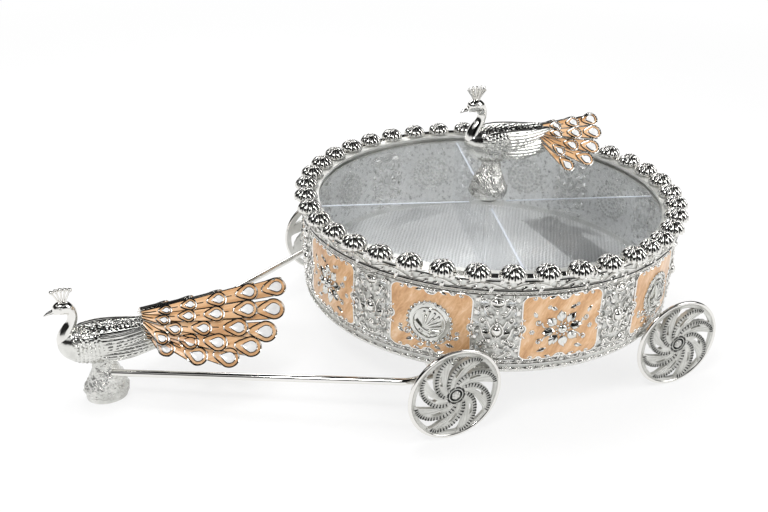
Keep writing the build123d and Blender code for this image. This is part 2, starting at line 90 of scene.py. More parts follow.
camera_data = bpy.data.cameras.new("camera")
camera_data.sensor_width = SENSOR_MM
camera_data.lens = FOCAL_MM
camera = bpy.data.objects.new("camera", camera_data)
bpy.context.scene.collection.objects.link(camera)
look = Matrix.Rotation(CAMERA_AZIMUTH, 4, "Z") @ Matrix.Rotation(math.pi / 2 - CAMERA_ELEVATION, 4, "X")
roll = Matrix.Rotation(CAMERA_ROLL, 4, "Z")
camera.matrix_world = Matrix.Translation(CAMERA_FROM_BOX + Vector((box_x, 0, 0))) @ look @ roll
bpy.context.scene.camera = camera
print("camera looks along", [round(v, 4) for v in camera.matrix_world.to_3x3() @ Vector((0, 0, -1))])

# %% [markdown]
# Shader maths reads best as plain expressions. This class wraps one socket of a node: the operators add
# Math nodes, and one function adds any other node with its settings and inputs.

# %% A small expression class for materials
class Value:
    def __init__(self, tree, socket):
        self.tree, self.socket = tree, socket

    def plug(self, target):
        self.tree.links.new(self.socket, target)

    def out(self, name):
        return Value(self.tree, self.socket.node.outputs[name])

    def math(self, operation, *others, swap=False):
        terms = [self, *others]
        if swap:
            terms.reverse()
        return add_node(self.tree, "ShaderNodeMath", {"operation": operation}, dict(enumerate(terms)))

    def __add__(self, other): return self.math("ADD", other)
    def __radd__(self, other): return self.math("ADD", other)
    def __sub__(self, other): return self.math("SUBTRACT", other)
    def __rsub__(self, other): return self.math("SUBTRACT", other, swap=True)
    def __mul__(self, other): return self.math("MULTIPLY", other)
    def __rmul__(self, other): return self.math("MULTIPLY", other)
    def __pow__(self, other): return self.math("POWER", other)

    def steps(self, low, high):
        """0 below low, 1 above high, and straight between them."""
        return add_node(self.tree, "ShaderNodeMapRange", {"clamp": True},
                        {"Value": self, "From Min": low, "From Max": high})

    def split(self):
        """The X, Y and Z of a vector."""
        parts = add_node(self.tree, "ShaderNodeSeparateXYZ", None, {"Vector": self})
        return [parts.out(axis) for axis in "XYZ"]


def fill(tree, node, inputs):
    for key, value in inputs.items():
        target = node.inputs[key]
        if isinstance(value, Value):
            value.plug(target)
        else:
            target.default_value = value


def add_node(tree, kind, settings=None, inputs=None):
    """One node of a kind: its settings first, then the values or links of its sockets."""
    node = tree.nodes.new(kind)
    for key, value in (settings or {}).items():
        if key == "stops":
            ramp = node.color_ramp
            while len(ramp.elements) < len(value):
                ramp.elements.new(0.5)
            for element, (place, colour) in zip(ramp.elements, value):
                element.position = place
                element.color = colour
        else:
            setattr(node, key, value)
    fill(tree, node, inputs or {})
    return Value(tree, node.outputs[0])

# %% [markdown]
# A material is built round the Principled shader. Patterns are read from object coordinates, so they stay
# with the piece, and a keyword such as Base_Color stands for the socket Base Color.

# %% A class for whole materials
def spaced(inputs):
    return {key.replace("_", " "): value for key, value in inputs.items()}


class Material:
    def __init__(self, name, **inputs):
        self.data = bpy.data.materials.new(name)
        self.data.use_nodes = True
        self.tree = self.data.node_tree
        self.shader = self.tree.nodes["Principled BSDF"]
        self.set(**inputs)
        self.place = self.node("ShaderNodeTexCoord").out("Object")

    def set(self, **inputs):
        fill(self.tree, self.shader, spaced(inputs))

    def node(self, kind, settings=None, **inputs):
        return add_node(self.tree, kind, settings, spaced(inputs))

    def noise(self, scale, detail=2.0, rough=0.5, place=None, **more):
        return self.node("ShaderNodeTexNoise", Vector=place or self.place, Scale=scale, Detail=detail,
                         Roughness=rough, **more)

    def ramp(self, value, *stops):
        return self.node("ShaderNodeValToRGB", {"stops": stops}, Fac=value)

    def blend(self, factor, first, second):
        """Two colours mixed. Sockets 0, 6 and 7 of a Mix node are its factor and its two colours."""
        mix = add_node(self.tree, "ShaderNodeMix", {"data_type": "RGBA"}, {0: factor, 6: first, 7: second})
        return Value(self.tree, mix.socket.node.outputs[2])

    def bump(self, height, distance):
        self.set(Normal=self.node("ShaderNodeBump", Height=height, Distance=distance))

    def show(self, factor, first, second):
        """Shows a mix of two shaders in place of the principled one alone."""
        mix = add_node(self.tree, "ShaderNodeMixShader", None, {"Fac": factor, 1: first, 2: second})
        mix.plug(self.tree.nodes["Material Output"].inputs["Surface"])


def grey(value):
    return (value, value, value, 1.0)


def warm(value, less=0.03):
    """A silver grey: a little less blue than red and green."""
    return (value, value, value - less, 1.0)

# %% [markdown]
# Bright plate is a thin, hard layer of silver over a casting. It mirrors the room, so its colour is
# nearly white and slightly warm; its roughness varies a little with handling, and a faint long wave in
# the surface keeps the reflections from looking like glass.

# %% Bright silver plate
SILVER = (0.83, 0.82, 0.79, 1.0)


def bright_plate():
    metal = Material("bright_plate", Metallic=1.0, Base_Color=SILVER)
    handling = metal.noise(60.0, 3.0)
    metal.set(Roughness=0.03 + 0.07 * handling)
    metal.bump(metal.noise(240.0, 2.0), 0.00002)
    return metal.data


plate_material = bright_plate()

# %% [markdown]
# The castings between the polished bosses are left satin: the plate is the same, but the surface under
# it is fine-grained, so it reads as soft grey with tiny glints. Slow, darker patches stand in for grime.
# The same recipe, with other grain and greys, gives the chased birds, the rocks, the near-black painted shade in
# the grooves and notches, and the matt skirt of the lid.

# %% Satin silver plate
def satin_plate(name, grain, depth, rough, metallic, dark, light):
    metal = Material(name, Metallic=metallic)
    patch = metal.noise(90.0, 4.0, 0.6)
    metal.set(Base_Color=metal.ramp(patch, (0.3, dark), (0.75, light)), Roughness=rough + 0.16 * patch)
    metal.bump(metal.noise(grain), depth)
    return metal.data


satin_material = satin_plate("satin_plate", 2600.0, 0.00008, 0.30, 0.75, warm(0.52), warm(0.76))
chased_material = satin_plate("chased_silver", 1400.0, 0.00004, 0.05, 1.0, warm(0.62), warm(0.86))
rock_material = satin_plate("cast_rock", 900.0, 0.0006, 0.10, 0.92, warm(0.58), warm(0.92))
# Painted shade: near black, for the dark wires laid in the rosettes' grooves, the wheels' notches and along the
# skirt's edges
painted_shade_material = satin_plate("painted_shade", 1400.0, 0.00004, 0.2, 1.0, grey(0.015), grey(0.03))
skirt_material = satin_plate("skirt_casting", 1200.0, 0.0001, 0.24, 0.62, warm(0.64), warm(0.88))
# The inside relief's near-white greys are partly painted light, for the light falling into the open box.
inner_material = satin_plate("inner_relief", 700.0, 0.0003, 0.16, 0.4, warm(0.72, 0.02), warm(1.0, 0.02))

# %% [markdown]
# The wall is one CAD node with two looks: bright and mottled inside, darker between the ornaments outside.
# The inside's near-white is partly painted light, for the light falling into the open box. The distance from
# the box's axis tells the faces apart, and one noise gives both the flecks and the dents.

# %% Wall casting
WALL_CORE_R = (0.1246, 0.1249)      # the finish changes between these two distances from the axis


def hammered():
    metal = Material("wall_casting", Metallic=0.55)
    x, y, _ = metal.place.split()
    x = x - box_x
    outside = (x * x + y * y).math("SQRT").steps(*WALL_CORE_R)
    fleck = metal.noise(330.0, 4.0, 0.65)
    # Inside: flecked silver, raised towards white partly as painted light.
    inner = metal.ramp(fleck, (0.36, warm(0.58, 0.02)), (0.48, warm(0.93, 0.02)), (0.58, warm(1.0, 0.02)))
    outer = metal.ramp(fleck, (0.36, warm(0.33, 0.02)), (0.6, warm(0.74)))
    metal.set(Base_Color=metal.blend(outside, inner, outer), Roughness=0.2 + 0.2 * fleck)
    metal.bump(fleck, 0.0006)
    return metal.data


wall_material = hammered()

# %% [markdown]
# The floor of the box is silver cloth-work: short bright dashes run one way and dark gaps the other, as in
# a basket weave. Two crossed waves make the weave, and its slopes scatter the light into streaks.

# %% Woven floor
def woven_floor():
    metal = Material("woven_floor", Metallic=0.35)
    x, y, _ = metal.place.split()
    wander = metal.noise(70.0) * 0.0016
    over = ((x + wander) * 2100.0).math("SINE")
    under = ((y - wander) * 1300.0).math("SINE")
    weave = (over * under) * 0.5 + 0.5
    patch = metal.noise(26.0, 5.0, 0.65)
    mottled = weave * 0.5 + patch * 0.55
    metal.set(Base_Color=metal.ramp(mottled, (0.28, warm(0.50, 0.01)), (0.48, warm(0.84, 0.02)),
                                    (0.66, warm(0.97, 0.01))), Roughness=0.22 + 0.2 * patch)
    metal.bump(weave, 0.0003)
    return metal.data


floor_material = woven_floor()

# %% [markdown]
# The peach enamel is a pearly lacquer poured into shallow cells and stroked with a brush before it sets,
# so the colour streaks across each panel from honey to pale apricot. A noise stretched along a slanted
# direction of the wall gives the strokes, and a coat gives the glassy skin. The drops on the trains are
# filled with plain white enamel.

# %% Peach and white enamel
WALL_R = 0.126                       # turns an angle round the box into a distance along the wall
STROKE_SLOPE = (0.5, 0.87)           # cosine and sine of the strokes' slant
STROKE_STRETCH = 3.2


def peach_enamel():
    enamel = Material("peach_enamel", Roughness=0.36, Coat_Weight=0.5, Coat_Roughness=0.14)
    x, y, tall = enamel.place.split()
    around = y.math("ARCTAN2", x - box_x) * WALL_R
    level, steep = STROKE_SLOPE
    stroke = enamel.node("ShaderNodeCombineXYZ", X=around * level + tall * steep,
                         Y=(around * steep - tall * level) * STROKE_STRETCH)
    cloud = enamel.noise(40.0, 2.0, 0.5, stroke)
    brush = enamel.noise(110.0, 3.0, 0.6, stroke, Distortion=2.2)
    enamel.set(Base_Color=enamel.ramp(
        cloud * 0.6 + brush * 0.4, (0.34, (0.50, 0.25, 0.10, 1)), (0.46, (0.66, 0.37, 0.17, 1)),
        (0.55, (0.77, 0.48, 0.26, 1)), (0.68, (0.88, 0.64, 0.42, 1))))
    enamel.bump(brush, 0.0001)
    return enamel.data


def white_enamel():
    enamel = Material("white_enamel", Roughness=0.25, Coat_Weight=0.6, Coat_Roughness=0.08)
    enamel.set(Base_Color=enamel.ramp(enamel.noise(180.0, 3.0), (0.3, grey(0.70)), (0.7, grey(0.84))))
    return enamel.data


peach_material = peach_enamel()
white_material = white_enamel()

# %% [markdown]
# The lid is a plain sheet of float glass and the tray is clear acrylic. Both let the light straight
# through. Their edges look bluish because the light travels a long way inside them, so the acrylic's
# colour is a little cold, and fine scuffs roughen both faces.

# %% Glass and acrylic
def clear(name, colour, index, rough, shade, haze):
    """A thin clear sheet: mostly straight-through light, with a sharp reflection that grows at the edges."""
    sheet = Material(name, Base_Color=colour, Roughness=rough, IOR=index, Transmission_Weight=1.0)
    straight = sheet.node("ShaderNodeBsdfTransparent", Color=colour)
    grazing = sheet.node("ShaderNodeLayerWeight", Blend=0.5).out("Facing")
    sheet.show(shade + haze * grazing ** 4.0, straight, Value(sheet.tree, sheet.shader.outputs[0]))
    scuff = sheet.noise(420.0, 6.0, 0.7)
    sheet.set(Roughness=rough + 0.06 * scuff.steps(0.58, 0.75))
    return sheet.data


glass_material = clear("clear_glass", (0.997, 0.998, 0.998, 1.0), 1.5, 0.01, 0.06, 0.35)
acrylic_material = clear("clear_acrylic", (0.984, 0.987, 0.992, 1.0), 1.49, 0.03, 0.06, 0.45)
print("glass and acrylic made")

# %% [markdown]
# The room is a white sweep of paper under soft light, as in a catalogue. Polished silver shows whatever
# stands around it, so it only looks like silver if the room has some dark in it. What mirrors see is
# therefore a room of its own: bright at the horizon, dark above with a pale ceiling band, and a few dark
# cards all round. Plain surfaces get an even soft light, and the camera sees white.

# %% World
ROOM = ((0.0, 0.95), (0.10, 0.85), (0.18, 0.16), (0.26, 0.02), (0.60, 0.02), (0.65, 0.8), (0.74, 0.8),
        (0.79, 0.03), (1.0, 0.02))   # grey of the room by height, from the horizon up
CARD_DARKNESS = 0.93

world = bpy.data.worlds.new("studio")
bpy.context.scene.world = world
world.use_nodes = True
sky = world.node_tree
for old in list(sky.nodes):
    sky.nodes.remove(old)


def backdrop(colour, strength=1.0):
    return add_node(sky, "ShaderNodeBackground", None, {"Color": colour, "Strength": strength})


def mixed(factor, first, second):
    return add_node(sky, "ShaderNodeMixShader", None, {"Fac": factor, 1: first, 2: second})


direction = add_node(sky, "ShaderNodeTexCoord").out("Generated")
east, north, height = direction.split()
wave = add_node(sky, "ShaderNodeTexNoise", None, {"Vector": direction, "Scale": 2.6, "Detail": 1.0})
level = height + 0.22 * (wave - 0.5)
room = add_node(sky, "ShaderNodeValToRGB", {"stops": [(at, grey(tone)) for at, tone in ROOM]}, {"Fac": level})
cards = (north.math("ARCTAN2", east) * 3.0 + 0.9).math("SINE").steps(0.5, 0.65)
room = room.math("MULTIPLY", 1.0 - cards * level.steps(0.04, 0.12) * CARD_DARKNESS)
rays = add_node(sky, "ShaderNodeLightPath")
seen = rays.out("Is Camera Ray").math("MAXIMUM", rays.out("Is Transmission Ray"))
lit = mixed(rays.out("Is Glossy Ray"), backdrop(grey(0.9), 0.62), backdrop(room))
surface = sky.nodes.new("ShaderNodeOutputWorld")
mixed(seen, lit, backdrop(grey(1.0))).plug(surface.inputs["Surface"])
print("world nodes", len(sky.nodes))

# %% [markdown]
# Four soft boxes light the piece. The one above opens up the inside of the box; mirrors don't see it,
# because it would wash out the dark parts of the plate.

# %% Lamps
def softbox(name, place, size, watts, aim=Vector((0.03, 0, 0.05))):
    data = bpy.data.lights.new(name, "AREA")
    data.shape = "RECTANGLE"
    data.size, data.size_y = size
    data.energy = watts
    lamp = bpy.data.objects.new(name, data)
    bpy.context.scene.collection.objects.link(lamp)
    lamp.location = place
    lamp.rotation_euler = (aim - place).to_track_quat("-Z", "Y").to_euler()
    print(name, watts, "W")
    return lamp


softbox("key_light", Vector((-0.5, -0.5, 0.95)), (0.3, 0.2), 3.6)
softbox("fill_light", Vector((0.75, -0.55, 0.6)), (0.5, 0.5), 3.0)
softbox("back_light", Vector((0.1, 0.9, 0.8)), (0.9, 0.3), 4.0)
overhead = softbox("top_light", Vector((box_x - 0.08, 0.1, 0.8)), (0.34, 0.34), 2.2, Vector((box_x, 0, 0.04)))
overhead.visible_glossy = False

# %% [markdown]
# The floor is a plain sheet. Camera, mirror and see-through rays get mostly white from it, and all white
# far away, so that the page behind the object is white; other rays meet an ordinary matt surface. The
# quarter of matt paper that stays near the object keeps the soft shadow.

# %% Floor
SHADOW_SHARE = 0.25
SHADOW_FADES = (0.4, 1.2)            # metres from the middle of the object

bpy.ops.mesh.primitive_plane_add(size=6.0, location=(0, 0, -0.0004))
floor = bpy.context.object
floor.name = "floor"
paper = Material("paper", Base_Color=grey(0.95), Roughness=0.95)
ray = paper.node("ShaderNodeLightPath")
direct = ray.out("Is Camera Ray").math("MAXIMUM", ray.out("Is Glossy Ray")).math(
    "MAXIMUM", ray.out("Is Transmission Ray"))
x, y, _ = paper.place.split()
far = (x * x + y * y).math("SQRT").steps(*SHADOW_FADES)
page = paper.node("ShaderNodeEmission", Color=grey(1.0), Strength=1.0)
paper.show(direct * (SHADOW_SHARE * far + (1.0 - SHADOW_SHARE)), Value(paper.tree, paper.shader.outputs[0]), page)
floor.data.materials.append(paper.data)

# %% [markdown]
# A ray that looks through the lid, the tray's rim, its dividers and its floor crosses many clear faces.
# Cycles stops after a set number of them and shows black, so the numbers are raised. The colours are shown
# as they are, without a film look, so that the page stays white.

# %% Light paths and colours
scene = bpy.context.scene
scene.view_settings.view_transform = "Standard"
scene.cycles.transparent_max_bounces = 48
scene.cycles.max_bounces = 20
scene.cycles.transmission_bounces = 16
scene.cycles.glossy_bounces = 8
print("clear faces a ray may cross", scene.cycles.transparent_max_bounces)

# %% [markdown]
# Almost every new piece is a casting with small repeated ornament. Each motif is modelled once with
# ordinary primitives, flat on a drawing plane, and then wrapped round the box or copied round a circle.
# Operators act on all that is selected, so each helper first selects just what it works on.

# %% Helpers for selecting and adding
def deselect():
    if bpy.context.object and bpy.context.object.mode != "OBJECT":
        bpy.ops.object.mode_set(mode="OBJECT")
    bpy.ops.object.select_all(action="DESELECT")


def pick(*pieces):
    """Selects just these pieces, the first of them active."""
    deselect()
    for piece in pieces:
        piece.select_set(True)
    bpy.context.view_layer.objects.active = pieces[0]


def primitive(kind, **place):
    """One primitive at its size and place, with nothing else selected."""
    deselect()
    getattr(bpy.ops.mesh, f"primitive_{kind}_add")(**place)
    return bpy.context.object

# %% [markdown]
# What is drawn apart is joined into one mesh, with its place in the mesh and its object at the origin. A
# rule that moves every vertex bends or tapers a mesh in ways that no single operator does.

# %% Helpers for joining, bending and copying
def settle(piece):
    """Moves a piece's place into its mesh, so that its object sits at the origin."""
    piece.data.transform(piece.matrix_basis)
    piece.matrix_basis = Matrix.Identity(4)
    return piece


def join(parts):
    """Several objects as one, at the origin."""
    for part in parts:
        settle(part)
    pick(*parts)
    if len(parts) > 1:
        bpy.ops.object.join()
    return bpy.context.object


def moved(piece, rule):
    """Moves every vertex of a piece by a rule from old place to new place."""
    for vertex in piece.data.vertices:
        vertex.co = rule(vertex.co)
    return piece


def placed(mesh):
    """A new object for a mesh, in the scene."""
    made = bpy.data.objects.new("work", mesh)
    bpy.context.scene.collection.objects.link(made)
    return made


def from_bmesh(made):
    """The object for a finished bmesh."""
    mesh = bpy.data.meshes.new("work")
    made.to_mesh(mesh)
    made.free()
    return placed(mesh)


def copies(piece, places):
    """A copy of a piece at each of several matrices, all as one object. The original goes."""
    made = bmesh.new()
    for place in places:
        before = len(made.verts)
        made.from_mesh(piece.data)
        made.verts.ensure_lookup_table()
        bmesh.ops.transform(made, matrix=place, verts=made.verts[before:])
    bpy.data.objects.remove(piece)
    return from_bmesh(made)


def modifier(piece, kind, **settings):
    """One modifier, applied."""
    pick(piece)
    added = piece.modifiers.new(kind.lower(), kind)
    for key, value in settings.items():
        setattr(added, key, value)
    bpy.ops.object.modifier_apply(modifier=added.name)
    return piece

# %% [markdown]
# Scrolls, rims, stems and ribs are all round wires: a NURBS path with a bevel, turned into a mesh. Its
# radius can taper, because cast scrolls get thinner towards their ends.

# %% Wires and smooth curves
def wire(points, radius, closed=False, sides=2, tip=1.0):
    """A round wire through points in (x, y, z); tip is its thickness at the far end."""
    deselect()
    bpy.ops.curve.primitive_nurbs_path_add()
    path = bpy.context.object
    curve = path.data
    curve.splines.clear()
    spline = curve.splines.new("NURBS")
    spline.points.add(len(points) - 1)
    for k, (point, place) in enumerate(zip(spline.points, points)):
        point.co = (*place, 1.0)
        point.radius = 1.0 + (tip - 1.0) * k / (len(points) - 1)
    spline.order_u = 3
    spline.use_endpoint_u = not closed
    spline.use_cyclic_u = closed
    spline.resolution_u = 3
    curve.bevel_depth = radius
    curve.bevel_resolution = sides
    curve.use_fill_caps = True
    bpy.ops.object.convert(target="MESH")
    return bpy.context.object


def mm(*values):
    """A place given in millimetres, in metres."""
    return tuple(value * MM for value in values)


def flat_wire(points, lift, radius, **settings):
    """A wire in mm through points (x, z) of flat work, at one height above it."""
    return wire([mm(x, lift, z) for x, z in points], radius * MM, **settings)


def through(stations, count):
    """Points along a smooth curve through stations of any number of values."""
    made = []
    for k in range(count + 1):
        t = k / count * (len(stations) - 1)
        i = min(int(t), len(stations) - 2)
        f = t - i
        p, a, b, q = (stations[max(i - 1, 0)], stations[i], stations[i + 1],
                      stations[min(i + 2, len(stations) - 1)])
        made.append([0.5 * (2 * a[c] + (b[c] - p[c]) * f + (2 * p[c] - 5 * a[c] + 4 * b[c] - q[c]) * f * f
                            + (3 * a[c] - p[c] - 3 * b[c] + q[c]) * f ** 3) for c in range(len(a))])
    return made

# %% [markdown]
# Each finished piece gets its name, its material and its place in the assembly in one call, so that no
# piece can be left without one.

# %% Finishing a piece
def finish(piece, name, body, material, slot, replaces=(), angle=35.0):
    """Smooths and names a piece, gives it its finish and says what it rides on and stands for."""
    pick(piece)
    bpy.ops.object.shade_smooth_by_angle(angle=math.radians(angle))
    piece.name = name
    piece.data.name = name
    piece.data.materials.clear()
    piece.data.materials.append(material)
    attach(piece, body)
    if replaces:
        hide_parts(*replaces)
    print(name, "faces", len(piece.data.polygons))
    return piece


def round_box(angle, radius, height):
    """A matrix that stands a motif on the box: its +X points outwards, +Y along the wall, +Z up."""
    return (Matrix.Translation((box_x, 0, 0)) @ Matrix.Rotation(angle, 4, "Z")
            @ Matrix.Translation((radius, 0, height)))

# %% [markdown]
# The lid is edged with a row of little domes like flower heads: fat petals run from a dark eye at the
# crown down to the rim. One is made from a sphere cut in half; its vertices are drawn in between
# the petals and the crown is pushed down. The copies take their places from the CAD row of domes.

# %% Rosettes on the lid
ROSETTE_R, ROSETTE_H = mm(8.25, 7.0)
ROSETTE_PETALS, PETAL_DIP = 12, 0.17
ROSETTE_CIRCLE = 125.0 * MM
SEAM_ANGLE, SEAM_GAP, ROSETTES = -67.0, 7.3, 38
SEAM_SIZE = 0.88                     # the one small rosette sits on the strip's seam


def petal_dome(radius, height, petals, dip, rings=20):
    dome = primitive("uv_sphere", segments=petals * 8, ring_count=rings, radius=1.0)
    bpy.ops.object.mode_set(mode="EDIT")
    bpy.ops.mesh.select_all(action="SELECT")
    bpy.ops.mesh.bisect(plane_co=(0, 0, -0.02), plane_no=(0, 0, 1), clear_inner=True, use_fill=True)
    bpy.ops.object.mode_set(mode="OBJECT")

    def rule(p):
        around = math.atan2(p.y, p.x)
        flat = math.hypot(p.x, p.y)
        groove = abs(math.sin(petals * around / 2)) ** 0.6
        reach = min(1.0, flat * 2.2)
        lift = (1.0 - dip * 0.9 * (1 - groove) * reach) * p.z
        lift -= 0.20 * max(0.0, 1.0 - flat / 0.2)
        spread = 1.0 - dip * (1 - groove) * min(1.0, flat * 1.5)
        return Vector((p.x * spread * radius, p.y * spread * radius, lift * height))

    return moved(dome, rule)


def rosette_places():
    pitch = (360 - 2 * SEAM_GAP) / (ROSETTES - 1)
    yield SEAM_ANGLE, SEAM_SIZE
    for i in range(ROSETTES):
        yield SEAM_ANGLE + SEAM_GAP + pitch * i, 1.0


rosette = petal_dome(ROSETTE_R, ROSETTE_H, ROSETTE_PETALS, PETAL_DIP)
random.seed(4)
rosette_matrices = []
for angle, size in rosette_places():
    spun = Matrix.Rotation(random.uniform(0, 1), 4, "Z") @ Matrix.Diagonal((size, size, 1.0, 1.0))
    rosette_matrices.append(round_box(math.radians(angle), ROSETTE_CIRCLE, strip_top) @ spun)

# %% [markdown]
# The gaps between the petals and the sunken eye at the crown are painted black: thin near-black wires lie in
# them, on the same copies, as painted shade.

# %% Painted shade in the rosettes' grooves
GROOVE_TILTS = (68, 52, 36, 20, 6)   # degrees up the dome, from the eye to the rim
EYE_H = 5.9 * MM

groove_shade = [primitive("uv_sphere", segments=14, ring_count=8, radius=1.0, location=(0, 0, EYE_H),
                     scale=mm(1.5, 1.5, 0.6))]
for k in range(ROSETTE_PETALS):
    turn = 2 * math.pi * k / ROSETTE_PETALS
    line = []
    for tilt in GROOVE_TILTS:
        t = math.radians(tilt)
        r = ROSETTE_R * math.cos(t) * (1.0 - PETAL_DIP) + 0.25 * MM
        height = ROSETTE_H * (1 - PETAL_DIP * 0.9) * math.sin(t) + 0.2 * MM
        line.append((r * math.cos(turn), r * math.sin(turn), height))
    groove_shade.append(wire(line, 0.42 * MM, tip=1.2))
finish(copies(join(groove_shade), rosette_matrices), "rosette_groove_shade", "lid", painted_shade_material, "silver_plate", (), 50.0)
finish(copies(rosette, rosette_matrices), "rosette_domes", "lid", plate_material, "silver_plate", ["rosettes"],
       50.0)

# %% [markdown]
# The wall is an openwork casting. Between the enamel panels stand ten posts of ornament, each with an
# almond boss, an onion-shaped boss and a flower among leaf scrolls. A post is modelled flat, with X along
# the wall, Z up and Y out of the wall, then bent to the wall's slight barrel.

# %% Wrapping flat work round the wall
WALL_POINTS_MM = ((42.5, 125.2), (52.0, 126.4), (84.0, 126.4), (94.0, 125.4))
PANELS = 10
PANEL_PITCH = 360 / PANELS
FIRST_PANEL = -97.0
PANEL_ANGLES = [FIRST_PANEL + PANEL_PITCH * i for i in range(PANELS)]
POST_ANGLES = [FIRST_PANEL + PANEL_PITCH * (i + 0.5) for i in range(PANELS)]
print("panels at", PANEL_ANGLES)


def wall_radius(z):
    """The wall's outer radius at a height."""
    height = z / MM
    for (low_z, low_r), (high_z, high_r) in zip(WALL_POINTS_MM, WALL_POINTS_MM[1:]):
        if height <= high_z:
            share = max(0.0, (height - low_z) / (high_z - low_z))
            return (low_r + (high_r - low_r) * share) * MM
    return WALL_POINTS_MM[-1][1] * MM


def wrapped(piece, angle, radius=None):
    """Bends flat work round the box: x becomes distance along the wall and y height above it."""
    def rule(p):
        base = radius or wall_radius(p.z)
        turn = math.radians(angle) + p.x / base
        out = base + p.y
        return Vector((box_x + out * math.cos(turn), out * math.sin(turn), p.z))
    return moved(piece, rule)


def wrapped_row(piece, angles, radius=None):
    """A copy of flat work at each angle, bent to the wall, all as one object. The original goes."""
    row = [wrapped(placed(piece.data.copy()), angle, radius) for angle in angles]
    bpy.data.objects.remove(piece)
    return join(row)

# %% [markdown]
# All the ornament is put together from four motifs: a bead, a flower, a scroll and a leaf. They are drawn
# in mm on the flat, and a motif beside a middle line has a mirrored twin.

# %% Bead, flower, scroll and leaf
def bead(x, z, radius, lift=0.3, stretch=(1.0, 1.0, 1.0)):
    """A small round or oval boss, sizes in mm."""
    ball = primitive("uv_sphere", segments=10, ring_count=6, radius=radius * MM,
                     location=(x * MM, lift * MM, z * MM))
    ball.scale = stretch
    return ball


def round_points(x, z, ring, count, shift=0.0):
    """Points evenly round a circle."""
    turns = [2 * math.pi * (k + shift) / count for k in range(count)]
    return [(x + ring * math.cos(turn), z + ring * math.sin(turn)) for turn in turns]


def bead_ring(x, z, ring, count, radius, lift, shift=0.0, stretch=(1.0, 1.0, 1.0)):
    """Beads evenly round a circle, sizes in mm."""
    return [bead(*point, radius, lift, stretch) for point in round_points(x, z, ring, count, shift)]


def flower(x, z, radius, lift=0.3):
    """A little flat flower: six round petals about an eye."""
    return [bead(x, z, radius * 0.42, lift + 0.35)] + bead_ring(
        x, z, radius * 0.62, 6, radius * 0.36, lift, 0.0, (1.0, 0.7, 1.0))


def volute(x, z, radius, start, turns, wire_r, hand=1, lift=0.4, lead=()):
    """A scroll in mm: a wire that runs in along lead points and curls up round a centre."""
    points = [(px * MM, lift * MM, pz * MM) for px, pz in lead]
    steps = max(6, int(turns * 10))
    for k in range(steps + 1):
        share = k / steps
        turn = math.radians(start) + hand * share * turns * 2 * math.pi
        r = radius * (1.0 - 0.72 * share)
        points.append(((x + r * math.cos(turn)) * MM, (lift + 0.3 * share) * MM,
                       (z + r * math.sin(turn)) * MM))
    curl = wire(points, wire_r * MM, tip=0.75)
    eye = bead(x, z, wire_r * 1.7, lift + 0.35)
    return [curl, eye]


def leaf(x, z, length, width, angle, lift=0.25):
    """A pointed leaf with a raised rib, in mm, lying along an angle in degrees."""
    blade = primitive("uv_sphere", segments=12, ring_count=8, radius=1.0)

    def rule(p):
        along = (p.x + 1) / 2
        taper = math.sin(math.pi * along ** 0.75) ** 0.8 if 0 < along < 1 else 0.0
        ridge = 0.28 * math.exp(-(p.z * 4) ** 2)
        return Vector((along * length * MM, (p.y * 0.3 + (ridge if p.y > 0 else 0)) * width * 0.5 * MM,
                       p.z * taper * width * 0.62 * MM))

    moved(blade, rule)
    blade.matrix_basis = Matrix.Translation(mm(x, lift, z)) @ Matrix.Rotation(-math.radians(angle), 4, "Y")
    return [settle(blade)]


def side_curl(side, x, z, radius, turns, wire_r, hand, lift=0.4, lead=()):
    """A scroll on one side of a middle line, -1 or 1, with its mouth towards that line."""
    return volute(side * x, z, radius, 180 if side > 0 else 0, turns, wire_r, side * hand, lift,
                  [(side * px, pz) for px, pz in lead])


def side_leaf(side, x, z, length, width, angle, lift=0.25):
    """A leaf on one side of a middle line, -1 or 1."""
    return leaf(side * x, z, length, width, angle if side > 0 else 180 - angle, lift)

# %% [markdown]
# The post itself is a list of motifs: bosses on the middle line, scrolls and leaves in mirrored pairs. The
# scrolls end in round eyes beside the panels, as the casting does.

# %% Ornament between the panels
ALMOND_RING = ((-4.6, 85.2), (-2.8, 87.9), (0, 88.6), (2.8, 87.9), (4.6, 85.2), (2.8, 82.6), (0, 81.9),
               (-2.8, 82.6))
ONION_RING = ((0, 62.2), (-3.4, 63.2), (-4.3, 66.8), (-2.4, 70.2), (0, 71.8), (2.4, 70.2), (4.3, 66.8),
              (3.4, 63.2))
# Scrolls as (x, z, radius, turns, wire, hand, lift, lead), leaves as (x, z, length, width, angle) and
# beads as (x, z, radius), in mm and degrees, on the right side of the post
POST_CURLS = (
    (11.6, 66.2, 2.9, 1.15, 0.62, -1, 0.5, ((3.0, 60.8), (6.2, 60.6), (8.4, 63.4))),
    (8.6, 73.6, 2.5, 1.1, 0.55, 1, 0.4, ((3.4, 67.8), (4.8, 70.4))),
    (9.8, 80.6, 2.5, 1.1, 0.55, -1, 0.4, ((2.0, 76.6), (5.0, 77.2))),
    (9.2, 87.6, 2.2, 1.0, 0.5, 1, 0.4, ((4.4, 86.4),)),
    (9.4, 57.2, 2.8, 1.15, 0.6, 1, 0.4, ((2.2, 54.8), (4.8, 53.8))),
    (8.0, 50.2, 2.2, 1.0, 0.55, -1, 0.4, ((2.0, 47.6),)),
)
POST_LEAVES = (
    (3.6, 64.2, 6.0, 2.6, 8), (2.4, 75.2, 6.4, 2.4, 42), (4.4, 82.8, 6.0, 2.2, -24), (3.2, 57.4, 5.6, 2.4, 50),
    (5.6, 47.4, 7.0, 2.2, -4), (12.0, 59.6, 4.6, 2.2, 70), (12.4, 75.6, 5.0, 2.2, 92),
    (11.8, 51.0, 5.0, 2.2, 62), (5.0, 60.2, 5.4, 2.0, -38), (2.2, 90.8, 6.4, 1.8, 4), (12.6, 84.6, 4.8, 2.0, 110),
)
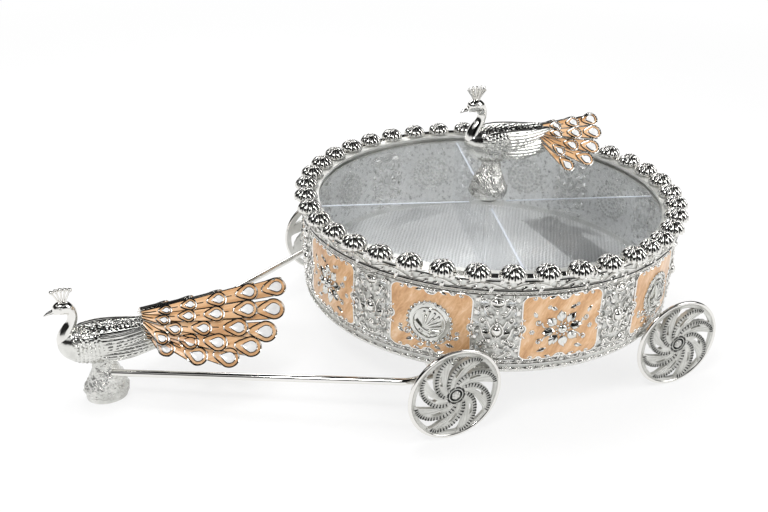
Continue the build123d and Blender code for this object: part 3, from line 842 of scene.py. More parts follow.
POST_BEADS = ((6.6, 68.2, 0.7), (6.0, 80.4, 0.6), (5.6, 52.0, 0.7), (13.4, 70.8, 0.8), (13.2, 80.4, 0.8),
              (13.4, 55.2, 0.8), (6.6, 90.8, 0.6), (9.4, 91.2, 0.6))


def post_parts():
    parts = [
        bead(0, 85.2, 3.0, 0.5, (1.35, 0.55, 0.72)), bead(0, 85.2, 1.6, 1.6, (1.3, 0.6, 0.7)),
        bead(0, 66.5, 3.1, 1.0, (1.0, 0.8, 1.05)), bead(0, 70.6, 1.3, 1.1, (0.8, 0.8, 1.4)),
        bead(0, 73.6, 0.9, 0.8), bead(0, 61.6, 1.1, 0.7, (1.6, 0.8, 0.8)),
        bead(0, 78.6, 1.2, 0.5, (0.8, 0.8, 1.7)),
        flat_wire(ALMOND_RING, 0.6, 0.5, closed=True), flat_wire(ONION_RING, 0.9, 0.5, closed=True),
    ]
    parts += flower(0, 91.0, 1.9) + flower(0, 55.6, 2.5) + flower(0, 48.6, 1.9)
    for side in (-1, 1):
        for curl in POST_CURLS:
            parts += side_curl(side, *curl)
        for row in POST_LEAVES:
            parts += side_leaf(side, *row)
        parts += [bead(side * x, z, r, 0.35) for x, z, r in POST_BEADS]
    return parts


post = join(post_parts())
post_mesh = post.data
finish(wrapped_row(post, POST_ANGLES), "wall_filigree", "box", plate_material, "silver_plate", (), 45.0)

# %% [markdown]
# Each wheel is a flat casting: eight curled feathers sweep from the hub to a polished rim. A feather is
# drawn as a flat outline, given its thickness by an extrude, and carries a raised rib and a row of small
# teeth along its outer edge, which the real casting shows as a notched line.

# %% Outlines and upright rings
WHEEL_R = extent("front_wheel_near").x / 2
FEATHERS = 8
FEATHER_DEPTH = 2.6 * MM
RIM_INNER_R = WHEEL_R - 4.6 * MM


def polar(r, degrees):
    """A point of an upright circle, its angle counted from +X towards +Z."""
    turn = math.radians(degrees)
    return Vector((r * math.cos(turn), 0.0, r * math.sin(turn)))


def outline_plate(points, depth, hole=()):
    """A flat plate from an upright outline, its front face at y 0, thickened towards +Y."""
    made = bmesh.new()
    edges = []
    for loop in [points] + ([hole] if hole else []):
        verts = [made.verts.new((p.x, 0.0, p.z)) for p in loop]
        edges += [made.edges.new((a, b)) for a, b in zip(verts, verts[1:] + verts[:1])]
    bmesh.ops.triangle_fill(made, use_beauty=True, edges=edges)
    bmesh.ops.recalc_face_normals(made, faces=made.faces[:])
    if made.faces[0].normal.y > 0:
        bmesh.ops.reverse_faces(made, faces=made.faces[:])
    raised = bmesh.ops.extrude_face_region(made, geom=made.faces[:])
    front = [g for g in raised["geom"] if isinstance(g, bmesh.types.BMVert)]
    back = [v for v in made.verts if v not in front]
    bmesh.ops.translate(made, verts=back, vec=(0, depth, 0))
    bmesh.ops.recalc_face_normals(made, faces=made.faces[:])
    return from_bmesh(made)


def standing_ring(radius, thick, y, segments=72, sides=8):
    return primitive("torus", major_radius=radius, minor_radius=thick, major_segments=segments,
                     minor_segments=sides, location=(0, y, 0), rotation=(math.pi / 2, 0, 0))


def standing_disc(radius, depth, front, vertices):
    return primitive("cylinder", vertices=vertices, radius=radius, depth=depth,
                     location=(0, front + depth / 2, 0), rotation=(math.pi / 2, 0, 0))

# %% [markdown]
# A feather is drawn between two curved edges, given as shares of the wheel's radius and degrees. Its outer
# edge is notched; the teeth are short tapered wires, and so are the near-black marks between them, painted shade.

# %% One feather of a wheel
OUTER_EDGE = ((0.10, 118), (0.34, 84), (0.58, 54), (0.76, 34), (0.88, 16), (0.885, 2))
INNER_EDGE = ((0.885, 2), (0.80, 8), (0.66, 14), (0.46, 26), (0.26, 46), (0.10, 60))
PIERCING = ((0.40, 48), (0.47, 41), (0.55, 36), (0.62, 31), (0.60, 38), (0.54, 45), (0.47, 51))
NOTCH_DEPTH = 0.022


def on_wheel(knots, inset=0.0, share=1.0, turned=0.0):
    """Points of the wheel from knots (share of its radius, degrees), drawn in and turned a little."""
    return [polar((r - inset) * WHEEL_R * share, a + turned) for r, a in knots]


def feather_plate():
    """The flat feather: a notched outer edge, a smooth inner one and a leaf-shaped piercing."""
    outline = []
    for k, (r, a) in enumerate(through(OUTER_EDGE, 22)):
        notched = k % 2 and 3 < k < 20
        outline.append(polar(r * WHEEL_R * (1.0 + (NOTCH_DEPTH if notched else 0.0)), a))
    return outline_plate(outline + on_wheel(through(INNER_EDGE, 18)[1:]), FEATHER_DEPTH, on_wheel(PIERCING))


def feather_lines():
    """A rib along the middle, a line inside the outer edge and two outside the inner one."""
    pairs = zip(through(OUTER_EDGE, 8), through(INNER_EDGE[::-1], 8))
    middle = [((o[0] + i[0]) / 2, (o[1] + i[1]) / 2) for o, i in pairs]
    outer, inner = through(OUTER_EDGE, 10)[1:-1], through(INNER_EDGE, 8)[1:-1]
    return [wire(on_wheel(middle[1:], turned=7.0), 0.42 * MM, tip=0.5),
            wire(on_wheel(outer, inset=0.03, turned=-2.0), 0.36 * MM, tip=0.6),
            wire(on_wheel(inner, turned=4.0), 0.34 * MM, tip=0.6),
            wire(on_wheel(inner, share=0.98, turned=11.0), 0.34 * MM, tip=0.6)]


def teeth_and_notch_shade():
    """Short teeth that point inwards from the outer edge, and near-black wires between them as painted shade."""
    teeth, notch_shade = [], []
    path = on_wheel(through(OUTER_EDGE, 22)[3:-2])
    for here, there in zip(path, path[1:]):
        along = (there - here).normalized()
        inward = Vector((along.z, 0, -along.x))
        if inward.dot(here) > 0:
            inward = -inward
        start = here + inward * 0.1 * MM
        teeth.append(wire([start, start + inward * 1.3 * MM, start + inward * 2.6 * MM - along * 0.5 * MM],
                          0.52 * MM, tip=0.5))
        gap = start + along * (there - here).length / 2 - Vector((0, 0.25 * MM, 0))
        notch_shade.append(wire([gap, gap + inward * 1.2 * MM, gap + inward * 2.3 * MM], 0.42 * MM, tip=0.4))
    return teeth, notch_shade

# %% [markdown]
# The rim is a polished round bead with a flat satin land inside it, and the hub is a small flower in two
# rings, with a boss behind it for the axle. One wheel is put together at the origin; each of the four
# takes a copy, turned to face outwards on its side of the box.

# %% Rim, hub and the four wheels
def land_parts():
    outer = [polar(WHEEL_R - 1.2 * MM, 360 * k / 96) for k in range(96)]
    inner = [polar(RIM_INNER_R, 360 * k / 96) for k in range(96)]
    land = outline_plate(outer, 2.0 * MM, inner)
    land.location.y = 0.7 * MM
    return [land, standing_ring(RIM_INNER_R + 0.4 * MM, 0.4 * MM, 0.9 * MM),
            standing_ring(WHEEL_R - 2.7 * MM, 0.4 * MM, 0.8 * MM)]


def hub_parts():
    hub = petal_dome(3.0 * MM, 1.3 * MM, 6, 0.2, 10)
    hub.matrix_basis = Matrix.Translation((0, 0.2 * MM, 0)) @ Matrix.Rotation(math.pi / 2, 4, "X")
    boss = modifier(standing_disc(5.0 * MM, 8.6 * MM, FEATHER_DEPTH, 32), "BEVEL", width=0.6 * MM, segments=3)
    return [hub, standing_ring(4.4 * MM, 0.4 * MM, 0.1 * MM, 40),
            standing_disc(6.0 * MM, FEATHER_DEPTH, 0.0, 40), boss]


teeth, notch_shade = teeth_and_notch_shade()
turns = [Matrix.Rotation(-2 * math.pi * k / FEATHERS, 4, "Y") for k in range(FEATHERS)]
spokes = copies(join([feather_plate()] + feather_lines() + teeth), turns)
casting = join([spokes] + land_parts() + hub_parts())
tyre = settle(standing_ring(WHEEL_R - 1.25 * MM, 1.25 * MM, 1.25 * MM, 96, 14))
notch_shade_rows = copies(join(notch_shade), turns)
for end in ("front", "rear"):
    for side in ("near", "far"):
        node = f"{end}_wheel_{side}"
        near = side == "near"
        hub_at = centre(node)
        hub_at.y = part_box(node)[0 if near else 1][1]
        place = Matrix.Translation(hub_at) @ Matrix.Rotation(0.0 if near else math.pi, 4, "Z")
        # The notch wires get the near-black painted shade.
        for source, kind, material, slot in ((casting, "pinwheel", satin_material, "silver_satin"),
                                             (tyre, "rim", plate_material, "silver_plate"),
                                             (notch_shade_rows, "notch_shade", painted_shade_material, "silver_satin")):
            made = placed(source.data.copy())
            made.data.transform(place)
            finish(made, f"{end}_{kind}_{side}", f"{end}_wheelset", material, slot,
                   [node] if kind == "pinwheel" else (), 40.0)
for source in (casting, tyre, notch_shade_rows):
    bpy.data.objects.remove(source)

# %% [markdown]
# Both birds carry a train of feathers spread like a pitched roof. Each feather is a long drop: a silver
# rim round a cell of peach enamel, with a white drop near the round end. The feathers lie on the same two
# slopes as the CAD plate, in layers, the longest underneath.

# %% Trains of eye feathers
TRAIN_SLOPE, TRAIN_RISE = math.radians(43.0), math.radians(5.0)
ROOT_SHARE = 0.36


def drop_outline(length, radius, root, count=14):
    """A long drop in the XY plane from a root at the origin to a round end at x = length + radius."""
    points = [(0.0, -root)]
    for k in range(count + 1):
        turn = -math.pi * 0.56 + math.pi * 1.12 * k / count
        points.append((length + radius * math.cos(turn), radius * math.sin(turn)))
    return points + [(0.0, root)]


def inner_drop(start, length, radius, count=14):
    """A closed drop: pointed at x = start, round at x = length + radius."""
    points = [(start, 0.0)]
    for k in range(count + 1):
        turn = -math.pi * 0.6 + math.pi * 1.2 * k / count
        points.append((length + radius * math.cos(turn), radius * math.sin(turn)))
    return points


def flat_plate(points, depth, lift, crown=0.0):
    """A plate lying in XY with its top at z = lift, thickened downwards, its top crowned a little."""
    made = bmesh.new()
    top = made.faces.new([made.verts.new((x, y, lift)) for x, y in points])
    if top.normal.z < 0:
        top.normal_flip()
    raised = bmesh.ops.extrude_face_region(made, geom=[top])
    under = [g for g in raised["geom"] if isinstance(g, bmesh.types.BMVert)]
    bmesh.ops.translate(made, verts=under, vec=(0, 0, -depth))
    bmesh.ops.recalc_face_normals(made, faces=made.faces[:])
    if crown:
        cap = max(made.faces, key=lambda f: f.calc_center_median().z)
        bmesh.ops.inset_region(made, faces=[cap], thickness=crown, depth=crown * 0.5)
    return from_bmesh(made)

# %% [markdown]
# The roof has a steep pitch and rises a little towards its end. A feather's place on it is given as a
# distance along the ridge and one down the slope, and its root is moved down the slope too, because the
# feathers of the real train spring from a broad line and not from one point.

# %% A feather's place on the roof
def slope_matrix(origin, side, u, v, lift):
    """Puts a feather drawn along +X on one slope of the roof, pointing at (u, v), from a broad root."""
    along = Vector((math.cos(TRAIN_RISE), 0, math.sin(TRAIN_RISE)))
    level = Vector((0, side * math.cos(TRAIN_SLOPE), -math.sin(TRAIN_SLOPE)))
    outward = (level.cross(along) if side < 0 else along.cross(level)).normalized()
    down = outward.cross(along) if side > 0 else along.cross(outward)
    root = down * v * ROOT_SHARE
    pointing = (along * u + down * v * (1 - ROOT_SHARE)).normalized()
    across = outward.cross(pointing)
    basis = Matrix((pointing, across, outward)).transposed().to_4x4()
    return Matrix.Translation(Vector(origin) + root * MM + outward * lift) @ basis

# %% [markdown]
# One feather has three finishes, so it is made as three objects: all its silver, its enamel and its white
# drop. A train copies them to both slopes and joins what has the same finish.

# %% One feather and a whole train
def eye_feather(length, radius, root, beaded):
    """The rim, the enamel cell and the white drop of one feather, as three objects."""
    rim_r = 0.62 * MM
    outline = drop_outline(length, radius, root)
    back = flat_plate(outline, 0.9 * MM, 0.0)
    point = max(root * 2, length - radius * 2.1)
    tear = inner_drop(point, length, radius)
    rims = [back, wire([(x, y, 0.35 * MM) for x, y in tear], rim_r, closed=True)]
    for side in (-1, 1):
        rims.append(wire([(x, side * (root + (radius - root) * x / length) * 0.96, 0.1 * MM)
                          for x in (0.0, length * 0.5, length)], 0.32 * MM))
    shaft = [(point * k / 6, 0.0, 0.35 * MM) for k in range(7)]
    rims.append(wire(shaft, 0.5 * MM, tip=0.8))
    eye = inner_drop(length - radius * 1.05, length + radius * 0.02, radius * 0.6)
    rims.append(wire([(x, y, 0.62 * MM) for x, y in eye], 0.36 * MM, closed=True))
    if beaded:
        for k in range(9):
            turn = -math.pi * 0.55 + math.pi * 1.1 * k / 8
            place = (length + radius * math.cos(turn), radius * math.sin(turn), 0.4 * MM)
            rims.append(primitive("uv_sphere", segments=8, ring_count=5, radius=0.7 * MM, location=place))
    enamel = flat_plate(drop_outline(length, radius - rim_r * 0.6, root * 0.6), 0.4 * MM, 0.3 * MM,
                        0.25 * MM)
    white = flat_plate(eye, 0.4 * MM, 0.62 * MM, 0.3 * MM)
    return join(rims), enamel, white


def train(name, body, origin, layers, beaded, stands_for):
    """A whole train: layers from the longest feathers up to the short ones at the root."""
    groups = {"rims": [], "enamel": [], "eyes": []}
    for level, feathers in enumerate(layers):
        for k, (u, v, radius) in enumerate(feathers):
            length = math.hypot(u, v * (1 - ROOT_SHARE))
            sources = eye_feather(length * MM, radius * MM, ROOT_HALF * MM, beaded)
            lift = (0.5 + LAYER_STEP * level + 0.35 * (k % 2)) * MM
            for side in (-1, 1):
                for group, source in zip(groups.values(), sources):
                    made = placed(source.data.copy())
                    made.data.transform(slope_matrix(origin, side, u, v, lift))
                    group.append(made)
            for source in sources:
                bpy.data.objects.remove(source)
    looks = ((plate_material, "silver_plate", 40.0), (peach_material, "enamel_peach", 50.0),
             (white_material, "enamel_white", 50.0))
    for (kind, parts), node, (material, slot, angle) in zip(groups.items(), stands_for, looks):
        finish(join(parts), f"{name}_train_{kind}", body, material, slot, [node], angle)

# %% [markdown]
# The front bird's train has five layers and the knob's has three, and the knob's drops have beads round
# their ends. Every feather is doubled on the other slope of the roof.

# %% The two trains
ROOT_HALF = 1.5          # half a feather's width at its root, in mm
LAYER_STEP = 0.85        # how much higher each layer lies, in mm

# Feathers as (along the ridge, down the slope, eye radius) in mm, outer layer first
FRONT_LAYERS = (
    ((86, 5, 6.0), (80, 19, 6.8), (71, 32, 6.8), (59, 39, 6.4), (44, 42, 6.2), (26, 36, 5.6), (9, 26, 4.8)),
    ((68, 4, 5.4), (64, 15, 5.8), (55, 25, 5.8), (40, 31, 5.6), (24, 26, 4.8)),
    ((48, 4, 4.6), (44, 13, 4.8), (34, 20, 4.6)),
    ((30, 3, 3.7), (27, 10, 4.0), (17, 16, 4.0), (8, 20, 3.8)),
    ((15, 3, 3.0), (12, 9, 3.2)),
)
KNOB_LAYERS = (
    ((42, 3, 4.6), (40, 13, 5.0), (34, 23, 5.0), (26, 31, 4.8), (11, 32, 4.4)),
    ((28, 3, 3.8), (26, 11, 4.0), (20, 19, 4.0), (9, 21, 3.6)),
    ((14, 3, 3.0), (12, 9, 3.2)),
)

front_root = Vector((box_x - 0.240, 0, 0.054))
knob_root = Vector((box_x + 0.033, 0, 0.1435))
train("front", "draw_bar", front_root, FRONT_LAYERS, False,
      ("peacock_tail_plate", "peacock_tail_enamel", "peacock_tail_eye_spots"))
train("knob", "lid", knob_root, KNOB_LAYERS, True,
      ("knob_tail_plate", "knob_tail_enamel", "knob_tail_eye_spots"))

# %% [markdown]
# Every enamel panel is framed by a thin silver line that follows its scalloped outline, with a round
# scroll eye in each bite. The outline is the CAD panel's own: round corners, one bite in each side and
# three in the top and bottom edges.

# %% Panel frames
HALF, LOW, HIGH, CORNER = 25.4, 46.0, 89.0, 5.0
MIDDLE = (LOW + HIGH) / 2


def arc(x, z, r, start, end, count=6):
    return [(x + r * math.cos(math.radians(start + (end - start) * k / count)),
             z + r * math.sin(math.radians(start + (end - start) * k / count))) for k in range(count + 1)]


def frame_outline():
    """The panel's edge in mm, anticlockwise from the middle of its right side."""
    right = arc(HALF, MIDDLE, 2.8, 180, 100)
    corner_high = arc(HALF - CORNER, HIGH - CORNER, CORNER, 0, 90)
    small_high = arc(HALF * 0.52, HIGH, 1.7, 0, -180)
    top = arc(0, HIGH + 1, 4.2, -14, -166)
    half_right = right + corner_high + small_high
    left = [(-x, z) for x, z in half_right[::-1]]
    upper = half_right + top + left
    lower = [(x, 2 * MIDDLE - z) for x, z in upper[::-1]]
    return upper + lower[1:-1]


def panel_frame():
    parts = [flat_wire(frame_outline(), 0.35, 0.55, closed=True)]
    for side in (-1, 1):
        parts += [bead(side * (HALF - 0.2), MIDDLE, 1.7, 0.4, (1, 0.6, 1)),
                  bead(side * (HALF - 0.2), MIDDLE, 0.8, 1.3)]
        for way in (1, -1):
            parts += side_curl(side, HALF - 0.6, MIDDLE + way * 6.4, 1.7, 0.9, 0.42, way)
    for z, up in ((HIGH, -1), (LOW, 1)):
        parts += [bead(x, z + up * 1.0, 1.25, 0.4, (1, 0.6, 1)) for x in (-2.3, 0.0, 2.3)]
        parts.append(bead(0, z + up * 2.6, 0.9, 0.5))
        for side in (-1, 1):
            parts.append(bead(side * HALF * 0.52, z + up * 0.6, 1.1, 0.4, (1, 0.6, 1)))
            parts += side_leaf(side, 5.0, z + up * 0.6, 5.4, 1.8, up * 18, 0.4)
            parts += volute(side * (HALF - 7.4), z + up * 1.2, 1.5, 0 if side > 0 else 180, 0.9, 0.4,
                            side * up, 0.4)
    return join(parts)


finish(wrapped_row(panel_frame(), PANEL_ANGLES), "panel_frames", "box", plate_material, "silver_plate", (), 45.0)

# %% [markdown]
# Two motifs take turns on the panels. The first is a round shell: a toothed edge, petals that fan out from
# below, a curved band and small curls.

# %% Shell medallions
def toothed_disc(x, z, radius, count, lift):
    """A shallow dome with round teeth along its edge."""
    dome = primitive("uv_sphere", segments=count * 6, ring_count=16, radius=1.0)

    def rule(p):
        around = math.atan2(p.z, p.x)
        flat = math.hypot(p.x, p.z)
        tooth = abs(math.cos(count * around / 2)) ** 0.7
        size = radius * (0.90 + 0.10 * tooth) * MM
        groove = 0.45 * (1 - abs(math.sin(count * around / 2)) ** 0.6) * min(1, flat * 1.4)
        return Vector((p.x * size, (max(p.y, -0.2) * 1.5 - groove) * MM, p.z * size))

    moved(dome, rule)
    dome.matrix_basis = Matrix.Translation((x * MM, lift * MM, z * MM))
    return settle(dome)


SHELL_Z, SHELL_R, SHELL_TEETH = 67.0, 14.0, 26
SHELL_BAND = ((-8.2, 0.5), (-5.2, -3.2), (-0.5, -5.6), (4.6, -6.0), (7.8, -4.0))
SHELL_BEADS = ((-4.4, -5.4, 1.6, 2.2), (-6.6, -2.6, 1.0, 2.2), (2.4, 2.8, 1.1, 2.4), (-1.8, 4.4, 0.9, 2.3),
               (5.2, 0.2, 0.9, 2.3))
SHELL_LEAVES = ((-16, -10.5, 5, 2.4, 150), (-9.4, -13.6, 5.6, 2.4, 195), (10.0, -13.4, 6.0, 2.4, -10),
                (14.6, -9.6, 5.0, 2.2, 30), (-3.0, -15.6, 5.0, 2.2, 205), (3.4, -15.6, 5.0, 2.2, -25))


def shell_ribs(z, foot, count=9, reach=8.0):
    """Ribs that fan out from one foot, each arched over its middle."""
    ribs = []
    for k in range(count):
        turn = math.radians(-150 + 24 * k)
        tip = (reach * math.cos(turn + 1.2), z + reach * math.sin(turn + 1.2))
        ribs.append(wire([mm(foot[0], 1.9, foot[1]),
                          mm((foot[0] + tip[0]) / 2, 2.6, (foot[1] + tip[1]) / 2),
                          mm(tip[0], 1.9, tip[1])], 0.5 * MM, tip=1.6))
    return ribs


def shell_medallion():
    z = SHELL_Z
    parts = [toothed_disc(0, z, SHELL_R, SHELL_TEETH, 0.5)]
    parts += bead_ring(0, z, SHELL_R - 0.4, SHELL_TEETH, 1.15, 0.9, 0.5)
    parts.append(flat_wire(round_points(0, z, 10.0, 24), 1.9, 0.42, closed=True))
    parts += shell_ribs(z, (-3.4, z - 4.2))
    parts.append(flat_wire([(x, z + dz) for x, dz in SHELL_BAND], 2.6, 1.0, tip=0.6))
    parts += [bead(x, z + dz, radius, lift) for x, dz, radius, lift in SHELL_BEADS]
    parts += volute(-13.6, z - 9.0, 2.3, 90, 1.1, 0.5, 1, 0.5, ((-5.0, z - 14.0), (-9.0, z - 13.4)))
    parts += volute(12.4, z - 8.4, 2.2, 90, 1.1, 0.5, -1, 0.5, ((5.0, z - 14.0), (9.0, z - 13.2)))
    for x, dz, length, width, angle in SHELL_LEAVES:
        parts += leaf(x, z + dz, length, width, angle, 0.5)
    parts += flower(-18.2, z - 6.6, 1.7) + flower(17.0, z - 5.2, 1.7) + flower(0.0, z - 15.4, 1.9)
    return join(parts)


finish(wrapped_row(shell_medallion(), PANEL_ANGLES[1::2]), "wall_shells", "box", chased_material,
       "silver_plate", ["shell_medallions"], 45.0)

# %% [markdown]
# The second motif is a spray: eight ribbed leaves about a bud, each with two small ones at its root, and
# curls, flowers and loose leaves in the corners of the panel.

# %% Leaf sprays
SPRAY_Z, SPRAY_LEAVES = 66.0, 8


def leaf_spray():
    z = SPRAY_Z
    parts = [bead(0, z, 3.0, 0.8, (1, 0.7, 1)), bead(0, z, 1.5, 2.4)]
    parts += bead_ring(0, z, 3.9, 10, 0.75, 0.9)
    for k in range(SPRAY_LEAVES):
        angle = 360 * k / SPRAY_LEAVES + 8
        turn = math.radians(angle)
        parts += leaf(4.6 * math.cos(turn), z + 4.6 * math.sin(turn), 8.6, 5.2, angle, 0.6)
        for bend in (-24, 24):
            parts += leaf(6.2 * math.cos(turn), z + 6.2 * math.sin(turn), 5.4, 2.4, angle + bend, 0.9)
    for side in (-1, 1):
        parts += side_curl(side, 15.0, z + 5.6, 2.4, 1.2, 0.5, 1, 0.5, ((9.0, z + 1.0), (12.4, z + 1.8)))
        parts += side_curl(side, 14.2, z - 7.6, 2.2, 1.1, 0.5, -1, 0.5, ((8.0, z - 3.2), (11.6, z - 4.6)))
        parts += flower(side * 18.6, z - 1.0, 1.9) + flower(side * 9.0, z + 15.2, 1.6)
        parts += side_leaf(side, 16.0, z + 8.6, 5.0, 2.2, 60, 0.5)
        parts += side_leaf(side, 9.0, z - 12.4, 6.4, 2.4, -20, 0.5)
        parts += side_leaf(side, 4.0, z + 13.0, 5.4, 2.2, 25, 0.5)
    return join(parts)


finish(wrapped_row(leaf_spray(), PANEL_ANGLES[::2]), "wall_sprays", "box", chased_material, "silver_plate",
       ["leaf_reliefs"], 45.0)

# %% [markdown]
# Three narrow borders run right round the wall, one under the lid, one above the base and one on it: a
# flower, two pairs of leaves, two curls and two beads, over and over. One repeat is modelled and copied.
# Round wires edge the borders on the wall.

# %% Wall borders
BORDER_FACES = 0.75      # share of the faces kept, so that a border stays under 200,000 triangles
BORDER_LENGTH = 2 * math.pi * 125.6
HOOP_HEIGHTS = (42.7, 46.2, 89.6, 92.2)


def border_repeat(z, tall, length):
    parts = flower(0, z, tall * 0.42, 0.45)
    for side in (-1, 1):
        parts += side_leaf(side, tall * 0.5, z - tall * 0.12, length * 0.26, tall * 0.42, 14, 0.4)
        parts += side_leaf(side, tall * 0.5, z + tall * 0.2, length * 0.2, tall * 0.34, -14, 0.4)
        parts += side_curl(side, length * 0.40, z, tall * 0.3, 1.0, tall * 0.075, 1)
    parts += [bead(length / 2, z + up * tall * 0.2, tall * 0.15, 0.4) for up in (1, -1)]
    return modifier(join(parts), "DECIMATE", ratio=BORDER_FACES)


def round_angles(count, start=0.0):
    return [start + 360 * i / count for i in range(count)]


def hoop(radius, z, thick):
    """A round wire right round the box."""
    return primitive("torus", major_radius=radius, minor_radius=thick, major_segments=240, minor_segments=8,
                     location=(box_x, 0, z * MM))


def border(name, z, tall, count, radius=None, start=0.0):
    """A border of repeats; without a radius it follows the wall."""
    row = wrapped_row(border_repeat(z, tall, BORDER_LENGTH / count), round_angles(count, start), radius)
    finish(row, name, "box", plate_material, "silver_plate", (), 45.0)


border("foot_border", 44.3, 3.6, 60)
border("base_border", 39.4, 3.8, 54, 125.3 * MM, 2.0)
hoops = join([hoop(wall_radius(z * MM) + 0.2 * MM, z, 0.42 * MM) for z in HOOP_HEIGHTS])
finish(hoops, "wall_hoops", "box", plate_material, "silver_plate")
border("head_border", 90.9, 2.6, 72)

# %% [markdown]
# The lid's skirt is chased with a running vine: a stem that waves between two lines, a leaf in each bend
# and a small round flower in the other. It stands barely proud of the skirt.

# %% Vine on the lid's skirt
SKIRT_MM, VINE_REPEATS = 128.0, 28
# Leaves as shares: along the repeat, up the band, length, width; then the angle
VINE_LEAVES = ((0.06, 0.08, 0.20, 0.42, 60), (0.38, 0.10, 0.17, 0.38, 28), (0.17, 0.30, 0.15, 0.30, 10))


def vine_repeat(length, z, tall):
    stem = [(length * (k / 12 - 0.5), z + tall * 0.34 * math.sin(2 * math.pi * k / 12)) for k in range(13)]
    parts = [flat_wire(stem, 0.3, 0.45)]
    for side in (-1, 1):
        x, h = side * length * 0.25, z - side * tall * 0.16
        parts += flower(x, h, tall * 0.27, 0.4)
        parts += volute(x, h, tall * 0.30, 90, 0.8, 0.34, side, 0.3)
        for along, up, long, wide, angle in VINE_LEAVES:
            parts += leaf(side * length * along, z + side * tall * up, length * long, tall * wide,
                          angle if side > 0 else angle + 180, 0.35)
    return join(parts)


skirt = SKIRT_MM * MM
vine = wrapped_row(vine_repeat(2 * math.pi * 128 / VINE_REPEATS, 96.9, 5.0), round_angles(VINE_REPEATS),
                   skirt - 0.05 * MM)
finish(vine, "skirt_vine", "lid", plate_material, "silver_plate", (), 45.0)
# Two near-black hoops along the band's edges are painted shade, dark outlines for the vine band.
shade_lines = join([hoop(skirt + 0.15 * MM, 93.5, 0.42 * MM), hoop(skirt - 0.1 * MM, 99.9, 0.22 * MM)])
finish(shade_lines, "skirt_shade_lines", "lid", painted_shade_material, "silver_plate")
lines = join([hoop(skirt, 94.4, 0.34 * MM), hoop(skirt - 0.1 * MM, 99.3, 0.3 * MM)])
finish(lines, "skirt_lines", "lid", plate_material, "silver_plate")

# %% [markdown]
# The wall is one casting, so its inner face shows the ornament in reverse. A shallow copy of the posts and
# rings of beads for the round medallions are bent to the inside of the wall, where the clear tray lets
# them show.

# %% Relief on the inside of the wall
INNER_R = 124.1 * MM
RELIEF_FACES = 0.55      # the relief is shallow and seen through two clear sheets
INNER_RINGS = ((13.2, 30, 1.25), (9.6, 22, 1.15), (6.0, 14, 1.1), (2.6, 6, 1.1))   # radius, beads, size


def inside_relief(mesh, angle):
    def rule(p):
        turn = math.radians(angle) + p.x / INNER_R
        out = INNER_R - max(-0.2 * MM, min(p.y * 0.45, 1.2 * MM))
        return Vector((box_x + out * math.cos(turn), out * math.sin(turn), p.z))

    return moved(placed(mesh.copy()), rule)


rings = join([ball for ring, count, size in INNER_RINGS for ball in bead_ring(0, SHELL_Z, ring, count, size, 0.6)])
reliefs = [inside_relief(post_mesh, angle) for angle in POST_ANGLES]
reliefs += [inside_relief(rings.data, angle) for angle in PANEL_ANGLES]
bpy.data.objects.remove(rings)
relief = modifier(join(reliefs), "DECIMATE", ratio=RELIEF_FACES)
finish(relief, "inner_relief", "box", inner_material, "silver_satin", (), 45.0)

# %% [markdown]
# The two peacocks are the same casting. The body is a skin of ovals along its length, with a smooth breast
# and rows of overlapping scales behind it; the neck is a polished tube that rises to the head and the
# beak. All stations are in mm from the bird's own place, with the beak towards -X.

# %% Skins and scales
def skin(rings):
    """A closed surface over rings of points in mm, each with the same number of points."""
    made = bmesh.new()
    rows = [[made.verts.new(Vector(p) * MM) for p in ring] for ring in rings]
    for low, high in zip(rows, rows[1:]):
        for k in range(len(low)):
            made.faces.new((low[k - 1], low[k], high[k], high[k - 1]))
    made.faces.new(rows[0])
    made.faces.new(rows[-1][::-1])
    bmesh.ops.recalc_face_normals(made, faces=made.faces[:])
    return from_bmesh(made)


def scale_height(along, across, pitch, tall):
    """The height of overlapping scales at a place: each rises to its round end, then drops."""
    row = math.floor(along / pitch)
    f = along / pitch - row
    g = (across / pitch + 0.5 * (row % 2)) % 1.0 - 0.5
    edge = f + 1.6 * g * g
    return tall * (edge if edge < 1.0 else 0.15)

# %% [markdown]
# Along the body, each station gives an oval's place, height, half width and half height. Along the neck it
# gives the tube's place and radius.

# %% Body and neck
BODY = ((-19.8, 19.5, 2.0, 2.6), (-18.4, 19.0, 4.6, 5.8), (-15.5, 18.2, 7.0, 8.6), (-9.0, 17.0, 9.5, 11.5),
        (2.0, 16.0, 11.0, 12.5), (14.0, 16.5, 10.5, 11.5), (25.0, 18.5, 8.5, 8.5), (36.0, 20.5, 6.0, 5.5),
        (40.0, 21.5, 3.0, 2.5))
NECK = ((-12.5, 17.0, 6.6), (-14.6, 21.0, 5.6), (-14.4, 25.0, 4.8), (-12.6, 29.0, 4.0), (-10.6, 32.0, 3.4),
        (-9.3, 35.0, 3.1), (-8.8, 38.0, 3.1), (-9.4, 41.0, 3.4), (-11.4, 43.3, 4.1), (-14.0, 44.2, 4.4),
        (-16.6, 43.6, 3.9), (-18.6, 42.6, 2.6), (-20.2, 42.2, 1.5), (-22.4, 41.6, 1.1), (-25.0, 40.3, 0.3))
SCALE = 2.3              # pitch of the body's scales


def body_skin():
    rings = []
    length = 0.0
    stations = through(BODY, 150)
    for k, (x, z, wide, tall) in enumerate(stations):
        length += abs(x - stations[max(k - 1, 0)][0])
        scaled = min(1.0, max(0.0, (x + 12.5) / 3.0))
        count = max(8, round(2 * math.pi * (wide + tall) / 2 / SCALE))
        ring = []
        for j in range(120):
            turn = 2 * math.pi * j / 120
            across = turn / (2 * math.pi) * count * SCALE
            lift = scaled * (scale_height(length, across, SCALE, 0.9) - 0.45)
            ring.append((x, (wide + lift) * math.cos(turn), z + (tall + lift) * math.sin(turn)))
        rings.append(ring)
    return skin(rings)


